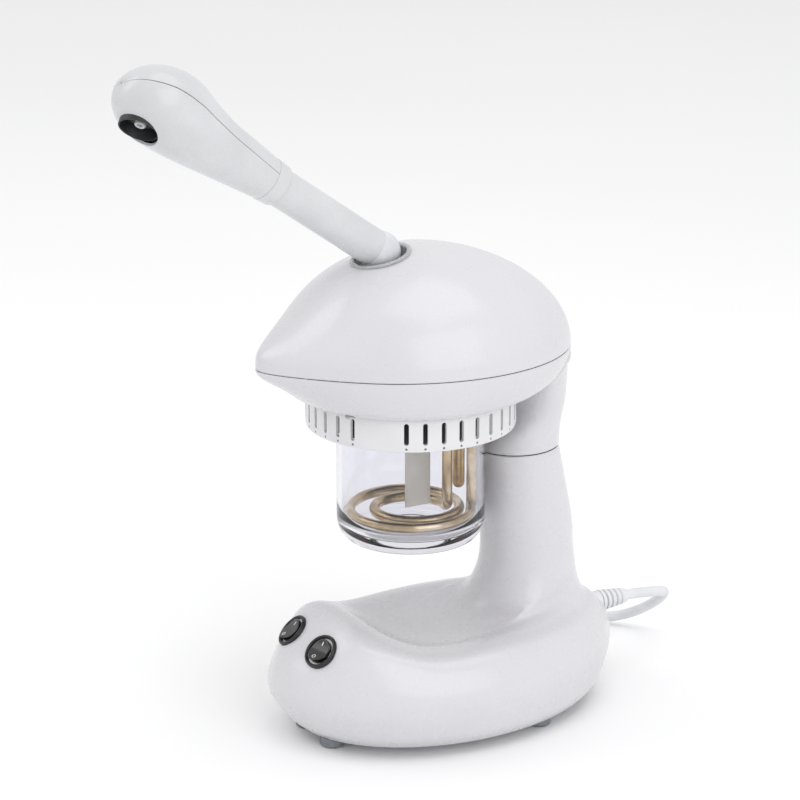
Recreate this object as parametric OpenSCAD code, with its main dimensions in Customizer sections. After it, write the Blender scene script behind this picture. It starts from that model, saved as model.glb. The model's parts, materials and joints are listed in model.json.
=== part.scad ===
// Desk-top facial steamer: a base and column in one shell, a domed head with a glass water jar
// hanging under it, and a swivelling steam arm with a turning nozzle. Front is -Y, up is +Z.

/* [Base] */
// Half width of the base at its widest
base_half_w = 77; // [74:1:90]
// From the jar's axis forward to the front of the base
base_front = 97; // [92:1:110]
// From the jar's axis back to the rear of the base
base_rear = 144; // [138:1:155]
// Height of the base's rim at its shoulder
base_h = 57; // [50:1:64]
// Height of the crest behind the switches
crest_h = 82; // [74:1:86]
// Wall of the moulded shells
shell_wall = 2.6; // [2.2:0.1:3.2]
// Height of the rubber feet under the shell
foot_h = 7; // [5:0.5:9]

/* [Column] */
// From the jar's axis back to the middle of the column at its top
column_back = 77; // [75:1:82]
// Half width of the column at its top, side to side
column_half_w = 26; // [23:1:30]
// Half depth of the column at its top, front to back
column_half_d = 29; // [26:1:31]
// Height of the joint between column and neck
column_top = 172; // [166:1:180]

/* [Head] */
// Height of the seam between the two head shells
seam_z = 247; // [243:1:254]
// Half width of the head at the seam
head_half_w = 80; // [77:1:90]
// Half length of the head at the seam
head_half_d = 95; // [93:1:104]
// From the jar's axis back to the middle of the head
head_back = 10; // [8:1:12]
// Height of the dome above the seam
dome_h = 66; // [62:1:76]
// How far the beak at the front stands out
beak = 21; // [14:1:26]

/* [Jar] */
// Outside diameter of the glass jar
jar_d = 94; // [93:1:96]
// Wall of the glass
glass_t = 3.2; // [2.6:0.2:4]
// Thickness of the jar's floor
jar_floor = 8; // [5:0.5:10]
// Height of the jar's underside above the table
jar_z = 125; // [122:1:130]
// Height of the jar's rim above the table
jar_top = 211; // [209:0.5:212]
// How far the unlocked jar is let down
jar_drop = 34; // [20:1:36]

/* [Vent ring] */
// Outside diameter of the slotted ring
ring_d = 132; // [130:1:138]
// Height of the ring's lower edge above the table
ring_z = 200; // [197:1:203]
// Height of the ring
ring_h = 21; // [19:1:24]
// Width of one slot
slot_w = 3; // [2:0.25:4]
// Number of slot places round the ring, two of each twelve staying closed
slot_places = 36; // [24:12:36]

/* [Heater] */
// Diameter of the heating tube
heater_d = 6.6; // [6:0.2:7]
// Radius of the outer turn, to the middle of the tube
heater_r = 38.5; // [38:0.5:39.5]
// Radius of the inner turn
heater_inner_r = 23; // [22:0.5:24]
// Height of the turns above the jar's underside
heater_lift = 17; // [16:1:24]
// Width of the flat level strip
strip_w = 18; // [12:1:20]

/* [Arm] */
// From the jar's axis forward to the middle of the arm's socket
socket_front = 22; // [18:1:24]
// Height of the swivel ball's middle above the table
swivel_z = 311; // [308:1:320]
// Radius of the swivel ball
ball_r = 13; // [12.5:0.5:14]
// Lean of the socket towards the front, in degrees
socket_lean = 14; // [12:1:16]
// Slope of the arm above level, in degrees
arm_slope = 35; // [33:1:42]
// Outside diameter of the arm tube
arm_d = 23.4; // [20:0.2:25]
// Wall of the arm tube
arm_wall = 2; // [1.4:0.1:2.4]
// From the swivel ball to the collar at the nozzle
arm_len = 84; // [74:1:100]
// Length of the nozzle head past the start of the collar
nozzle_len = 121; // [116:1:130]
// Turn of the nozzle about the arm from straight down, in degrees
nozzle_rest = 24; // [0:1:40]

/* [Switches] */
// Diameter of a switch's body, behind the panel
switch_body_d = 19.6; // [18:0.2:20]
// Diameter of the switch's bezel
bezel_d = 23; // [22:0.5:24]
// How far each switch stands round from the front, in degrees
switch_turn = 18; // [16:0.5:19]

/* [Mains lead] */
// Diameter of the mains lead
cord_d = 7; // [6:0.5:8]
// Radius of the coil at the middle of its turns
coil_r = 38.5; // [36:0.5:42]

/* [Hidden] */
$fn = 64;

jar_y = 13.3;                // the jar's axis stands this far behind the part's origin
cols = 36;                  // points round each shell
fit = 0.08;                 // radial play of a turning fit
gap = 0.3;                  // play between pieces that pass each other
clearance = 0.5;            // play between a fixed piece and its hole

// ---------- small helpers ----------
function unit(v) = v / max(norm(v), 1e-9);
function mix(a, b, t) = a + (b - a) * t;
function flat(g) = [for (row = g) each row];
function clamp(v, low, high) = max(low, min(high, v));

// Catmull-Rom curve through a list of points or of key sections, n steps per span.
function spline_at(k, i, t) =
    let (a = k[max(i - 1, 0)], b = k[i], c = k[min(i + 1, len(k) - 1)], d = k[min(i + 2, len(k) - 1)])
    0.5 * (2 * b + (c - a) * t + (2 * a - 5 * b + 4 * c - d) * t * t + (3 * b - a - 3 * c + d) * t * t * t);
function spline_real(k, s) = let (i = min(floor(s), len(k) - 2)) spline_at(k, i, s - i);
function spline(k, n) = concat(
    [for (i = [0 : len(k) - 2], s = [0 : n - 1]) spline_at(k, i, s / n)], [k[len(k) - 1]]);

// Outward normals of a grid; its columns close on themselves when wrap is true.
function grid_normal(g, i, j, wrap) =
    let (n = len(g[0]), up = g[min(i + 1, len(g) - 1)][j] - g[max(i - 1, 0)][j],
         next = wrap ? (j + 1) % n : min(j + 1, n - 1), last = wrap ? (j + n - 1) % n : max(j - 1, 0))
    unit(cross(g[i][next] - g[i][last], up));
// The grid moved inwards by t. The first and last rows of a closed shell move level.
function inset(g, t, wrap = true) = [for (i = [0 : len(g) - 1]) [for (j = [0 : len(g[0]) - 1])
    let (nrm = grid_normal(g, i, j, wrap), edge = wrap && (i == 0 || i == len(g) - 1),
         level = unit([nrm.x, nrm.y, 0]))
    g[i][j] - t * (edge && norm([nrm.x, nrm.y]) > 0.3 ? level : nrm)]];

// A closed wall between an outer grid and an inner grid of the same size.
module wall_between(outer, inner, wrap = true) {
    rows = len(outer);
    n = len(outer[0]);
    half = rows * n;
    last = wrap ? n - 1 : n - 2;
    polyhedron(points = concat(flat(outer), flat(inner)), faces = concat(
        [for (i = [0 : rows - 2], j = [0 : last]) each
            let (a = i * n + j, b = i * n + (j + 1) % n) [[a, a + n, b + n], [a, b + n, b]]],
        [for (i = [0 : rows - 2], j = [0 : last]) each
            let (a = half + i * n + j, b = half + i * n + (j + 1) % n) [[a, b + n, a + n], [a, b, b + n]]],
        [for (j = [0 : last]) each
            let (a = j, b = (j + 1) % n) [[a, b, half + b], [a, half + b, half + a]]],
        [for (j = [0 : last]) each
            let (a = half - n + j, b = half - n + (j + 1) % n) [[a, half + b, b], [a, half + a, half + b]]],
        wrap ? [] : [for (i = [0 : rows - 2]) each
            let (a = i * n, b = a + n) [[a, half + a, half + b], [a, half + b, b]]],
        wrap ? [] : [for (i = [0 : rows - 2]) each
            let (a = i * n + n - 1, b = a + n) [[a, half + b, half + a], [a, b, half + b]]]),
        convexity = 6);
}

// A round tube of radius r swept along points, closed at both ends.
function tangent(p, i) = unit(p[min(i + 1, len(p) - 1)] - p[max(i - 1, 0)]);
function side_of(t) = unit(abs(t.z) > 0.9 ? cross(t, [1, 0, 0]) : cross(t, [0, 0, 1]));
function carry(v, t) = unit(v - t * (v * t));
function sides_along(p, i = 0, v = undef, done = []) = i >= len(p) ? done :
    let (t = tangent(p, i), s = is_undef(v) ? side_of(t) : carry(v, t))
    sides_along(p, i + 1, s, [each done, s]);
module sweep(p, r, n = 8) {
    sides = sides_along(p);
    pts = [for (i = [0 : len(p) - 1]) let (t = tangent(p, i), s = sides[i], u = cross(t, s))
        for (j = [0 : n - 1]) p[i] + r * (cos(360 * j / n) * s + sin(360 * j / n) * u)];
    rows = len(p);
    polyhedron(points = pts, faces = concat(
        [for (i = [0 : rows - 2], j = [0 : n - 1]) each
            let (a = i * n + j, b = i * n + (j + 1) % n) [[a, a + n, b + n], [a, b + n, b]]],
        [[for (j = [0 : n - 1]) j]],
        [[for (j = [n - 1 : -1 : 0]) (rows - 1) * n + j]]), convexity = 8);
}

module tube(r_out, r_in, h) difference() {
    cylinder(r = r_out, h = h);
    translate([0, 0, -1]) cylinder(r = r_in, h = h + 2);
}
// A countersunk self-tapping screw with its head at z = 0 and its point up.
module screw(d, h) rotate_extrude($fn = 32) polygon([[0, 0], [d * 0.95, 0], [d * 0.95, 1],
    [d / 2, 2.2], [d / 2, h - d], [0.3, h], [0, h]]);
module place() translate([0, jar_y, 0]) children();

// ---------- base and column ----------
// An egg outline: angle 0 is the front, then round by +X, the back and -X.
function egg(front, widest, rear, half_w, a) =
    [half_w * sin(a), cos(a) > 0 ? widest - (widest - front) * cos(a) : widest - (rear - widest) * cos(a)];

// Key sections from the lower lip to the top of the column:
// [front, widest, rear, half width, front height, rear height]
rim_room = 2;                // the column's front stands back this far, so that the jar's bead passes it
col_f = column_back - column_half_d + rim_room;
col_r = column_back + column_half_d;
base_keys = [
    [-base_front + 20, 22, base_rear - 16, base_half_w - 7, foot_h, foot_h],
    [-base_front + 11, 22, base_rear - 8, base_half_w - 2, 15, 15],
    [-base_front + 1, 22, base_rear - 1, base_half_w, 30, 34],
    [-base_front + 2, 23, base_rear - 1, base_half_w - 3, 45, 50],
    [-base_front + 14, 26, base_rear - 9, base_half_w - 12, base_h + 1, 62],
    [-base_front + 40, 32, base_rear - 17, base_half_w - 25, base_h + 4, 68],
    [-8, 50, col_r + 17, base_half_w - 38, base_h - 2, 78],
    [34, 72, col_r + 14, column_half_w + 8, base_h + 4, 92],
    [col_f + 2, 82, col_r + 12, column_half_w + 4, base_h + 24, 106],
    [col_f + 6, 86, col_r + 10, column_half_w + 3, 112, 124],
    [col_f, column_back, col_r, column_half_w, column_top, column_top]];
base_steps = 3;

// The control pod lifts the front of the base to a crest and ends in a sloping panel.
pod_y = -54;                // the crest's place, and how far it falls away forwards, backwards and sideways
pod_fall = [20, 30, 60];
function pod(x, y) = (crest_h - base_h - 4) * exp(-pow(x / pod_fall.z, 2))
    * exp(-pow((y - pod_y) / (y < pod_y ? pod_fall.x : pod_fall.y), 2));
function base_point(k, a) =
    let (p = egg(k[0], k[1], k[2], k[3], a), z = mix(k[4], k[5], (1 - cos(a)) / 2))
    [p.x, p.y, z + clamp((z - 34) / 24, 0, 1) * pod(p.x, p.y)];
base_grid = [for (k = spline(base_keys, base_steps))
    [for (j = [0 : cols - 1]) base_point(k, 360 * j / cols)]];

// A switch sits on the panel: the point there and the panel's outward normal.
switch_row = 4.15;
function panel_point(row, a) = base_point(spline_real(base_keys, row), a);
function panel_normal(row, a) = unit(cross(panel_point(row, a + 4) - panel_point(row, a - 4),
    panel_point(row + 0.2, a) - panel_point(row - 0.2, a)));
// Side 1 is +X, the right switch, and side -1 the left one. The panel is symmetric.
switch_at = panel_point(switch_row, switch_turn) - 0.4 * panel_normal(switch_row, switch_turn);
switch_out = panel_normal(switch_row, switch_turn);
switch_tilt = acos(switch_out.z);
switch_yaw = atan2(switch_out.x, -switch_out.y);
module on_panel(side) translate([side * switch_at.x, switch_at.y, switch_at.z])
    rotate([switch_tilt, 0, side * switch_yaw]) children();

relief_z = 51;
relief_r = 7;
relief_start = base_rear - 14;
module base_shell() color("#ecebf1") difference() {
    wall_between(base_grid, inset(base_grid, shell_wall));
    for (side = [-1, 1]) on_panel(side) {
        translate([0, 0, -14]) cylinder(d = switch_body_d + clearance, h = 30);
        translate([0, 0, -gap / 10]) cylinder(d = bezel_d + gap, h = 10);
    }
    translate([0, relief_start, relief_z]) rotate([-90, 0, 0])
        cylinder(r = relief_r + clearance / 2, h = 30);
}

plate_t = 2.4;
plate_z = foot_h + 0.6;
foot_places = [[17, -66], [-17, -66], [53, 65], [-53, 65]];
screw_d = 3.2;
pilot_r = 1.45;             // bore of a post that a screw cuts its thread in
plate_screws = [[0, -52], [46, 92], [-46, 92], [58, 10], [-58, 10]];
function lip_outline(margin) = let (k = base_keys[0]) [for (j = [0 : 71])
    egg(k[0] + margin, k[1], k[2] - margin, k[3] - margin, 5 * j)];
module base_plate() color("#d9d9de") difference() {
    translate([0, 0, plate_z]) linear_extrude(plate_t) polygon(lip_outline(shell_wall + clearance));
    for (p = plate_screws) translate([p.x, p.y, plate_z - 1.2]) screw(screw_d + 0.6, 16);
    for (p = foot_places) translate([p.x, p.y, plate_z - 1]) cylinder(d = 6.4, h = plate_t + 2);
}
// Columns that take the plate's screws stand up inside the shell.
module screw_posts() color("#d9d9de") for (p = plate_screws)
    translate([p.x, p.y, plate_z + plate_t]) tube(4, pilot_r, 20);
module base_plate_screws() color("#b9bcc2") for (p = plate_screws)
    translate([p.x, p.y, plate_z - 1.2]) screw(screw_d, 16);
foot_tip = plate_z + plate_t + 3;
module rubber_feet() color("#8f9298") for (p = foot_places) translate([p.x, p.y, 0]) rotate_extrude()
    polygon([[0, 0], [7, 0], [8, 1], [8, foot_h - 0.3], [4.5, foot_h - 0.3], [4.5, plate_z],
        [3, plate_z], [3, plate_z + plate_t], [4, plate_z + plate_t + 1], [2.4, foot_tip], [0, foot_tip]]);

// ---------- switches ----------
switch_depth = 12;
bezel_h = 2.6;
rocker_r = 8.6;
rocker_half_w = 7.4;
rocker_pin_r = 1.5;
rocker_pin_half = 9.5;
module rocker_pin(r) rotate([0, 90, 0]) translate([0, 0, -rocker_pin_half])
    cylinder(r = r, h = 2 * rocker_pin_half);
module switch_body(side) color("#17181b") on_panel(side) difference() {
    union() {
        cylinder(d1 = bezel_d, d2 = bezel_d - 2, h = bezel_h);
        translate([0, 0, -switch_depth]) cylinder(d = switch_body_d, h = switch_depth + 0.1);
    }
    translate([0, 0, -8]) cylinder(r = rocker_r + gap + 0.3, h = 20);
    rocker_pin(rocker_pin_r + fit);
}
module rocker(side) color("#1d1e22") on_panel(side) {
    intersection() {
        translate([0, 0, -8]) cylinder(r = rocker_r - 0.4, h = 20);
        translate([-rocker_half_w, 0, 0]) rotate([0, 90, 0]) linear_extrude(2 * rocker_half_w)
            polygon([[4, -3], [4, 3], [-1, 8.2], [-3.4, 8.2], [-2.6, 0], [-5, -7.8], [-2, -7.8]]);
    }
    rocker_pin(rocker_pin_r);
}
module switch_pins() color("#c9a24a") for (side = [-1, 1]) on_panel(side) for (y = [-4, 4])
    translate([-2.4, y - 0.4, -switch_depth - 9]) cube([4.8, 0.8, 9]);

// ---------- electrics in the base ----------
module terminal_block() color("#f2f0e6") translate([-20, 84, plate_z + plate_t]) difference() {
    cube([40, 16, 14]);
    for (i = [0 : 3]) translate([5 + 10 * i, 8, 7]) cylinder(d = 5, h = 8);
}
module lamp_ballast() color("#2e3b52") translate([-24, -10, plate_z + plate_t]) cube([48, 34, 20]);
loom_route = [[0, 92, 25], [0, 95, 44], [0, 93, 70], [0, 89, 100], [0, 84, 140], [0, 81, 176],
    [0, 80, 204], [0, 80, 228], [0, 72, 237], [0, 50, 238]];
module wiring_loom() color("#c9c9c9") sweep(spline(loom_route, 3), 3.2, 8);

// ---------- mains lead ----------
relief_len = 22;
relief_end = base_rear + relief_len - 1;
module cord_strain_relief() color("#d4d4d8") translate([0, relief_start, relief_z]) rotate([-90, 0, 0])
    difference() {
        union() {
            cylinder(r = 10, h = 2.4);
            cylinder(r = relief_r, h = base_rear - relief_start + 1);
            for (i = [0 : 3]) translate([0, 0, base_rear - relief_start + 1 + 5 * i])
                cylinder(r1 = 7.4 - 0.55 * i, r2 = 7.1 - 0.55 * i, h = 3.4);
            cylinder(r = 4.6, h = relief_end - relief_start);
        }
        translate([0, 0, -1]) cylinder(d = cord_d, h = 60);
    }
cord_floor = cord_d / 2;
// Where the lead runs free, from the strain relief to the coil.
cord_route = [[0, 140, 51], [0, 168, 51], [0, 182, 50], [-2, 193, 48], [-8, 203, 44], [-18, 210, 37],
    [-31, 213.5, 27], [-46, 210.5, 16], [-60, 202.5, 8], [-74, 190.5, 4], [-86, 180.3, 3.5],
    [-100, 175, 3.5]];
coil_centre = [-100, 133];
// From the coil's last turn to the plug.
tail_route = [[-142, 133, 17.5], [-143, 124, 17], [-143, 112, 13], [-143, 100, 10], [-143, 90, 9]];
module power_cord() color("#d9d9dc") {
    sweep([for (p = spline(cord_route, 2)) [p.x, p.y, max(p.z, cord_floor)]], cord_d / 2, 10);
    sweep(spline(tail_route, 2), cord_d / 2, 10);
}
module cord_coil() color("#d9d9dc") translate([coil_centre.x, coil_centre.y, 0]) rotate_extrude()
    translate([coil_r - cord_d, 0]) square([2 * cord_d, 3 * cord_d]);
module cord_tie() color("#2b2b2e") translate([coil_centre.x, coil_centre.y, 0]) rotate([0, 0, -45])
    translate([coil_r, 0, 0]) difference() {
        translate([-cord_d - 1, -4, 0]) cube([2 * cord_d + 2, 8, 3 * cord_d + 1]);
        translate([-cord_d, -5, 0.8]) cube([2 * cord_d, 10, 3 * cord_d - 0.8]);
    }
plug_at = [-143, 90, 9];
module power_plug() color("#dcdce0") translate(plug_at) rotate([90, 0, 0]) {
    cylinder(r1 = 4.6, r2 = 6, h = 12);
    translate([0, 0, 12]) linear_extrude(26)
        hull() for (x = [-9, 9]) translate([x, 0]) circle(r = 8, $fn = 32);
}
module plug_pins() color("#c8b56a") translate(plug_at) rotate([90, 0, 0]) for (x = [-9.5, 9.5])
    translate([x, 0, 38]) { cylinder(r = 2, h = 17); translate([0, 0, 17]) sphere(r = 2); }

// ---------- head ----------
function head_outline(a) = [head_half_w * sin(a), head_back - head_half_d * cos(a)];
function beak_at(a) = let (d = a > 180 ? a - 360 : a) beak * exp(-pow(abs(d) / 24, 1.6));
rear_fall = 0.11;           // the dome is a little lower towards the back
function dome_z(x, y) =
    let (q = pow(x / head_half_w, 2) + pow((y - head_back) / head_half_d, 2),
         fall = 1 - rear_fall * max(0, (y - head_back) / head_half_d))
    seam_z + dome_h * fall * sqrt(max(0, 1 - q));
socket_r = 18.6;
crown_r = socket_r - 3;      // the dome's last section, cut away by the socket's hole
function dome_point(a, t) =
    let (m = 1 - cos(90 * t), s = [crown_r * sin(a), -socket_front - crown_r * cos(a)],
         p = mix(head_outline(a), s, m), z = dome_z(p.x, p.y),
         lift = beak_at(a) * exp(-pow(max(0, z - seam_z - 6) / 17, 2)))
    [p.x, p.y - lift, z];
dome_rows = 14;
dome_grid = [for (i = [0 : dome_rows])
    [for (j = [0 : cols - 1]) dome_point(360 * j / cols, i / dome_rows)]];
module head_upper_shell() color("#efeff3") difference() {
    wall_between(dome_grid, inset(dome_grid, shell_wall));
    in_socket() translate([0, 0, -24]) cylinder(r = socket_r, h = 40);
}

bowl_r = ring_d / 2 + 2;
bowl_z = ring_z + ring_h;
seam_gap = 0.4;
function bowl_point(a, t) =
    let (p = mix(head_outline(a), [bowl_r * sin(a), -bowl_r * cos(a)], 1 - cos(90 * t)),
         drop = (seam_z - seam_gap - bowl_z) * sin(90 * t))
    [p.x, p.y - beak_at(a) * exp(-pow(drop / 13, 2)), seam_z - seam_gap - drop];
bowl_rows = 8;
bowl_grid = [for (i = [0 : bowl_rows])
    [for (j = [0 : cols - 1]) bowl_point(360 * j / cols, 1 - i / bowl_rows)]];
post_places = [for (a = [30, 150, 210, 330]) [(bowl_r + 3.5) * sin(a), -(bowl_r + 3.5) * cos(a)]];
head_screw_z = bowl_z - 0.2;
loom_hole = [0, 80];        // where the wires pass from the neck into the head
module head_lower_shell() color("#efeff3") difference() {
    wall_between(bowl_grid, inset(bowl_grid, shell_wall));
    for (p = post_places) translate([p.x, p.y, head_screw_z]) screw(screw_d + 0.6, 18);
    translate([loom_hole.x, loom_hole.y, bowl_z - 10]) cylinder(r = 5, h = 30);
}
module head_screws() color("#b9bcc2") for (p = post_places)
    translate([p.x, p.y, head_screw_z]) screw(screw_d, 18);
// Posts hang from the dome to the bowl's floor and take the head screws.
post_foot = bowl_z + 8;
post_top = seam_z + 21;
module head_posts() color("#e9e9ee") for (p = post_places)
    translate([p.x, p.y, post_foot]) tube(4, pilot_r, post_top - post_foot);

// The neck joins the column to the underside of the bowl and reaches up behind it to the seam.
function bowl_under(x, y) =
    let (r = norm([x, y]), a = atan2(x, -y), outer = norm(head_outline(a < 0 ? a + 360 : a)),
         m = clamp((outer - r) / max(1, outer - bowl_r), 0, 1))
    seam_z - seam_gap - (seam_z - seam_gap - bowl_z) * sin(acos(1 - m));
neck_keys = [
    [col_f, column_back, col_r, column_half_w, column_top + 0.6],
    [col_f + 6, column_back + 2, col_r + 0.5, column_half_w, column_top + 13],
    [bowl_r + 1, column_back + 8, col_r + 1.5, column_half_w + 2, ring_z - 2],
    [bowl_r + 1.5, column_back + 9, col_r + 3, column_half_w + 7, bowl_z - 2]];
neck_top_half_w = 45;
function neck_point(k, a) = let (p = egg(k[0], k[1], k[2], k[3], a)) [p.x, p.y, k[4]];
// A point drawn back onto the head's outline where it would stand outside it.
function within_head(p) = let (q = norm([p.x / head_half_w, (p.y - head_back) / head_half_d]))
    q > 1 ? [p.x / q, head_back + (p.y - head_back) / q] : p;
neck_top = [for (j = [0 : cols - 1]) let (a = 360 * j / cols,
    p = within_head(egg(bowl_r + 1.5, column_back + 4, head_back + head_half_d, neck_top_half_w, a)))
    [p.x, p.y, min(seam_z - 6, bowl_under(p.x, p.y) - 1.5)]];
neck_grid = concat(
    [for (k = spline(neck_keys, 2)) [for (j = [0 : cols - 1]) neck_point(k, 360 * j / cols)]], [neck_top]);
neck_inset = inset(neck_grid, shell_wall);
neck_rows = len(neck_grid);
neck_inner = [for (i = [0 : neck_rows - 1]) i < neck_rows - 1 ? neck_inset[i] :
    [for (p = neck_inset[i]) [p.x, p.y, min(p.z, bowl_under(p.x, p.y) - 1.5)]]];
module neck_cover() color("#efeff3") wall_between(neck_grid, neck_inner);

// ---------- vent ring, lid and jar ----------
slot_step = 360 / slot_places;
slot_shift = 43.5;          // turn of the ring's first closed stretch from the front, by +X
flange_t = 2.5;
ring_in = ring_d / 2 - 2.5;
flange_in = 54;
module each_slot() for (i = [0 : slot_places - 1]) if (i % 12 > 1)
    rotate([0, 0, slot_shift - 90 + slot_step * (i - 0.5)]) children();
ring_screw_r = 58;
ring_screw_z = bowl_z - flange_t - 1.2;
module each_ring_screw() for (i = [0 : 2]) rotate([0, 0, slot_shift - 90 + 120 * i])
    translate([ring_screw_r, 0, 0]) children();
module vent_ring() color("#f4f4f6") translate([0, 0, ring_z]) difference() {
    cylinder(d = ring_d, h = ring_h);
    translate([0, 0, -1]) cylinder(r = ring_in, h = ring_h - flange_t + 1);
    cylinder(r = flange_in, h = ring_h + 1);
    each_slot() translate([ring_in - 2, -slot_w / 2, 5]) cube([9, slot_w, 12.5]);
    each_ring_screw() translate([0, 0, ring_screw_z - ring_z]) screw(screw_d + 0.6, 12);
}
module vent_ring_screws() color("#b9bcc2") each_ring_screw() translate([0, 0, ring_screw_z])
    screw(screw_d, 7);

lid_r = bowl_r - shell_wall - 0.4;
lid_t = 4;
socket_in = jar_d / 2 + 2.3;
socket_out = 53.4;
leg_turn = 61;              // the heater's legs stand this far round from +X
leg_a = [heater_r * cos(leg_turn), heater_r * sin(leg_turn)];
leg_b = [heater_inner_r * cos(leg_turn), heater_inner_r * sin(leg_turn)];
pocket_at = [5, 32.5];
pocket_r = 4;
pocket_z = 156;
pocket_top = bowl_z + 12;
duct_in = 9;
duct_out = 11;
// The leaning duct meets the lid this far behind the socket.
duct_shift = (swivel_z - bowl_z - lid_t) * tan(socket_lean);
module boiler_lid() color("#e9e9ee") difference() {
    union() {
        translate([0, 0, bowl_z]) cylinder(r = lid_r, h = lid_t);
        translate([0, 0, ring_z + 1]) cylinder(r = socket_out, h = bowl_z - ring_z);
    }
    translate([0, 0, ring_z]) cylinder(r = socket_in, h = jar_top + 2.4 - ring_z);
    cylinder(r = socket_in - 6, h = bowl_z);
    for (p = [leg_a, leg_b]) translate([p.x, p.y, bowl_z - 2]) cylinder(d = heater_d + 0.4, h = 10);
    translate([pocket_at.x, pocket_at.y, bowl_z - 2]) cylinder(r = pocket_r + 0.2, h = 10);
    translate([0, -socket_front + duct_shift, bowl_z - 2]) cylinder(r = duct_in, h = 10);
    each_ring_screw() translate([0, 0, bowl_z - 1]) cylinder(r = pilot_r, h = 10);
}
module jar_seal() color("#c4493c") translate([0, 0, jar_top + 0.2])
    tube(socket_in - gap, jar_d / 2 - 5, 1.9);

thread_r = jar_d / 2 + 1.9;
jar_in = jar_d / 2 - glass_t;
jar_h = jar_top - jar_z;
jar_bend = 8;               // rounding between the jar's wall and its underside
jar_bottom = [for (a = [-90 : 15 : 0])
    [jar_d / 2 - jar_bend + jar_bend * cos(a), jar_bend + jar_bend * sin(a)]];
module glass_jar() color("#dfe3ea", 0.5) translate([0, 0, jar_z]) rotate_extrude() polygon(concat(
    [[0, 0]], jar_bottom,
    [[jar_d / 2, jar_h - 8.5], [thread_r, jar_h - 8], [thread_r, jar_h - 3], [jar_d / 2, jar_h - 2.5]],
    [[jar_d / 2, jar_h], [jar_in, jar_h], [jar_in, jar_floor + 6], [jar_in - 2, jar_floor + 1.5]],
    [[jar_in - 6, jar_floor], [8, jar_floor], [5, jar_floor + 1], [0, jar_floor + 1.4]]));

// ---------- heater and what hangs in the jar ----------
turns_z = jar_z + heater_lift;
leg_top = bowl_z + 14;
bend = 8;
function turn_point(u) =
    let (a = leg_turn - 720 * u, r = mix(heater_r, heater_inner_r, clamp((u - 0.3) / 0.4, 0, 1)))
    [r * cos(a), r * sin(a), turns_z];
heater_route = concat(
    [[leg_a.x, leg_a.y, leg_top], [leg_a.x, leg_a.y, turns_z + bend]],
    [[leg_a.x + 0.6, leg_a.y - 0.4, turns_z + 3]],
    [for (i = [1 : 47]) turn_point(0.02 + 0.96 * i / 48)],
    [[leg_b.x - 0.6, leg_b.y + 0.4, turns_z + 3]],
    [[leg_b.x, leg_b.y, turns_z + bend], [leg_b.x, leg_b.y, leg_top]]);
module heater_tube() color("#c9b48a") sweep(heater_route, heater_d / 2, 10);
module heater_nuts() color("#c9a24a") for (p = [leg_a, leg_b]) translate([p.x, p.y, bowl_z + lid_t])
    difference() {
        cylinder(r = 6.4, h = 5, $fn = 6);
        translate([0, 0, -1]) cylinder(d = heater_d + 0.2, h = 8);
    }
module thermostat_pocket() color("#c9a24a") translate([pocket_at.x, pocket_at.y, 0]) difference() {
    union() {
        translate([0, 0, pocket_z]) cylinder(r = pocket_r, h = pocket_top - pocket_z);
        translate([0, 0, pocket_z]) sphere(r = pocket_r);
        translate([0, 0, bowl_z + lid_t]) cylinder(r = 7, h = 3);
    }
    translate([0, 0, pocket_z + 2]) cylinder(r = pocket_r - 1, h = pocket_top - pocket_z);
}
module thermal_cutout() color("#3a3a3e") translate([pocket_at.x, pocket_at.y, pocket_top])
    cylinder(r = 8, h = 7);
strip_y = 5;                // middle of the level strip, behind the jar's axis
strip_t = 1.6;
module level_strip() color("#ded9c9") translate([-strip_t / 2, strip_y - strip_w / 2, turns_z + 1])
    cube([strip_t, strip_w, bowl_z - turns_z - 1]);

// ---------- steam duct and ozone lamp ----------
ring_top = -1.4;            // the socket ring's upper face, along the socket's axis from the ball
duct_top = ring_top - 12;    // along the socket's axis from the ball's middle
duct_len = (swivel_z - bowl_z) / cos(socket_lean) + duct_top;
module steam_duct() color("#e4e4e8") difference() {
    union() {
        in_socket() translate([0, 0, duct_top - duct_len]) cylinder(r = duct_out, h = duct_len);
        translate([0, -socket_front + duct_shift, bowl_z + lid_t]) cylinder(r = duct_out + 5, h = 3);
    }
    in_socket() translate([0, 0, duct_top - duct_len - 1]) cylinder(r = duct_in, h = duct_len + 2);
    translate([-30, -60, bowl_z + lid_t - 20]) cube([60, 80, 20]);
}
lamp_at = [-30, 4];
module lamp_holder() color("#f2f0e6") translate([lamp_at.x, lamp_at.y, bowl_z + lid_t])
    cylinder(r = 8, h = 9);
module ozone_lamp() color("#cdbfe6") translate([lamp_at.x, lamp_at.y, bowl_z + lid_t + 9]) {
    cylinder(r = 6, h = 36);
    translate([0, 0, 36]) sphere(r = 6);
}

// ---------- arm ----------
// The socket leans forward with the dome; its frame has +Z out of the head.
module in_socket() translate([0, -socket_front, swivel_z]) rotate([socket_lean, 0, 0]) children();
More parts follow.
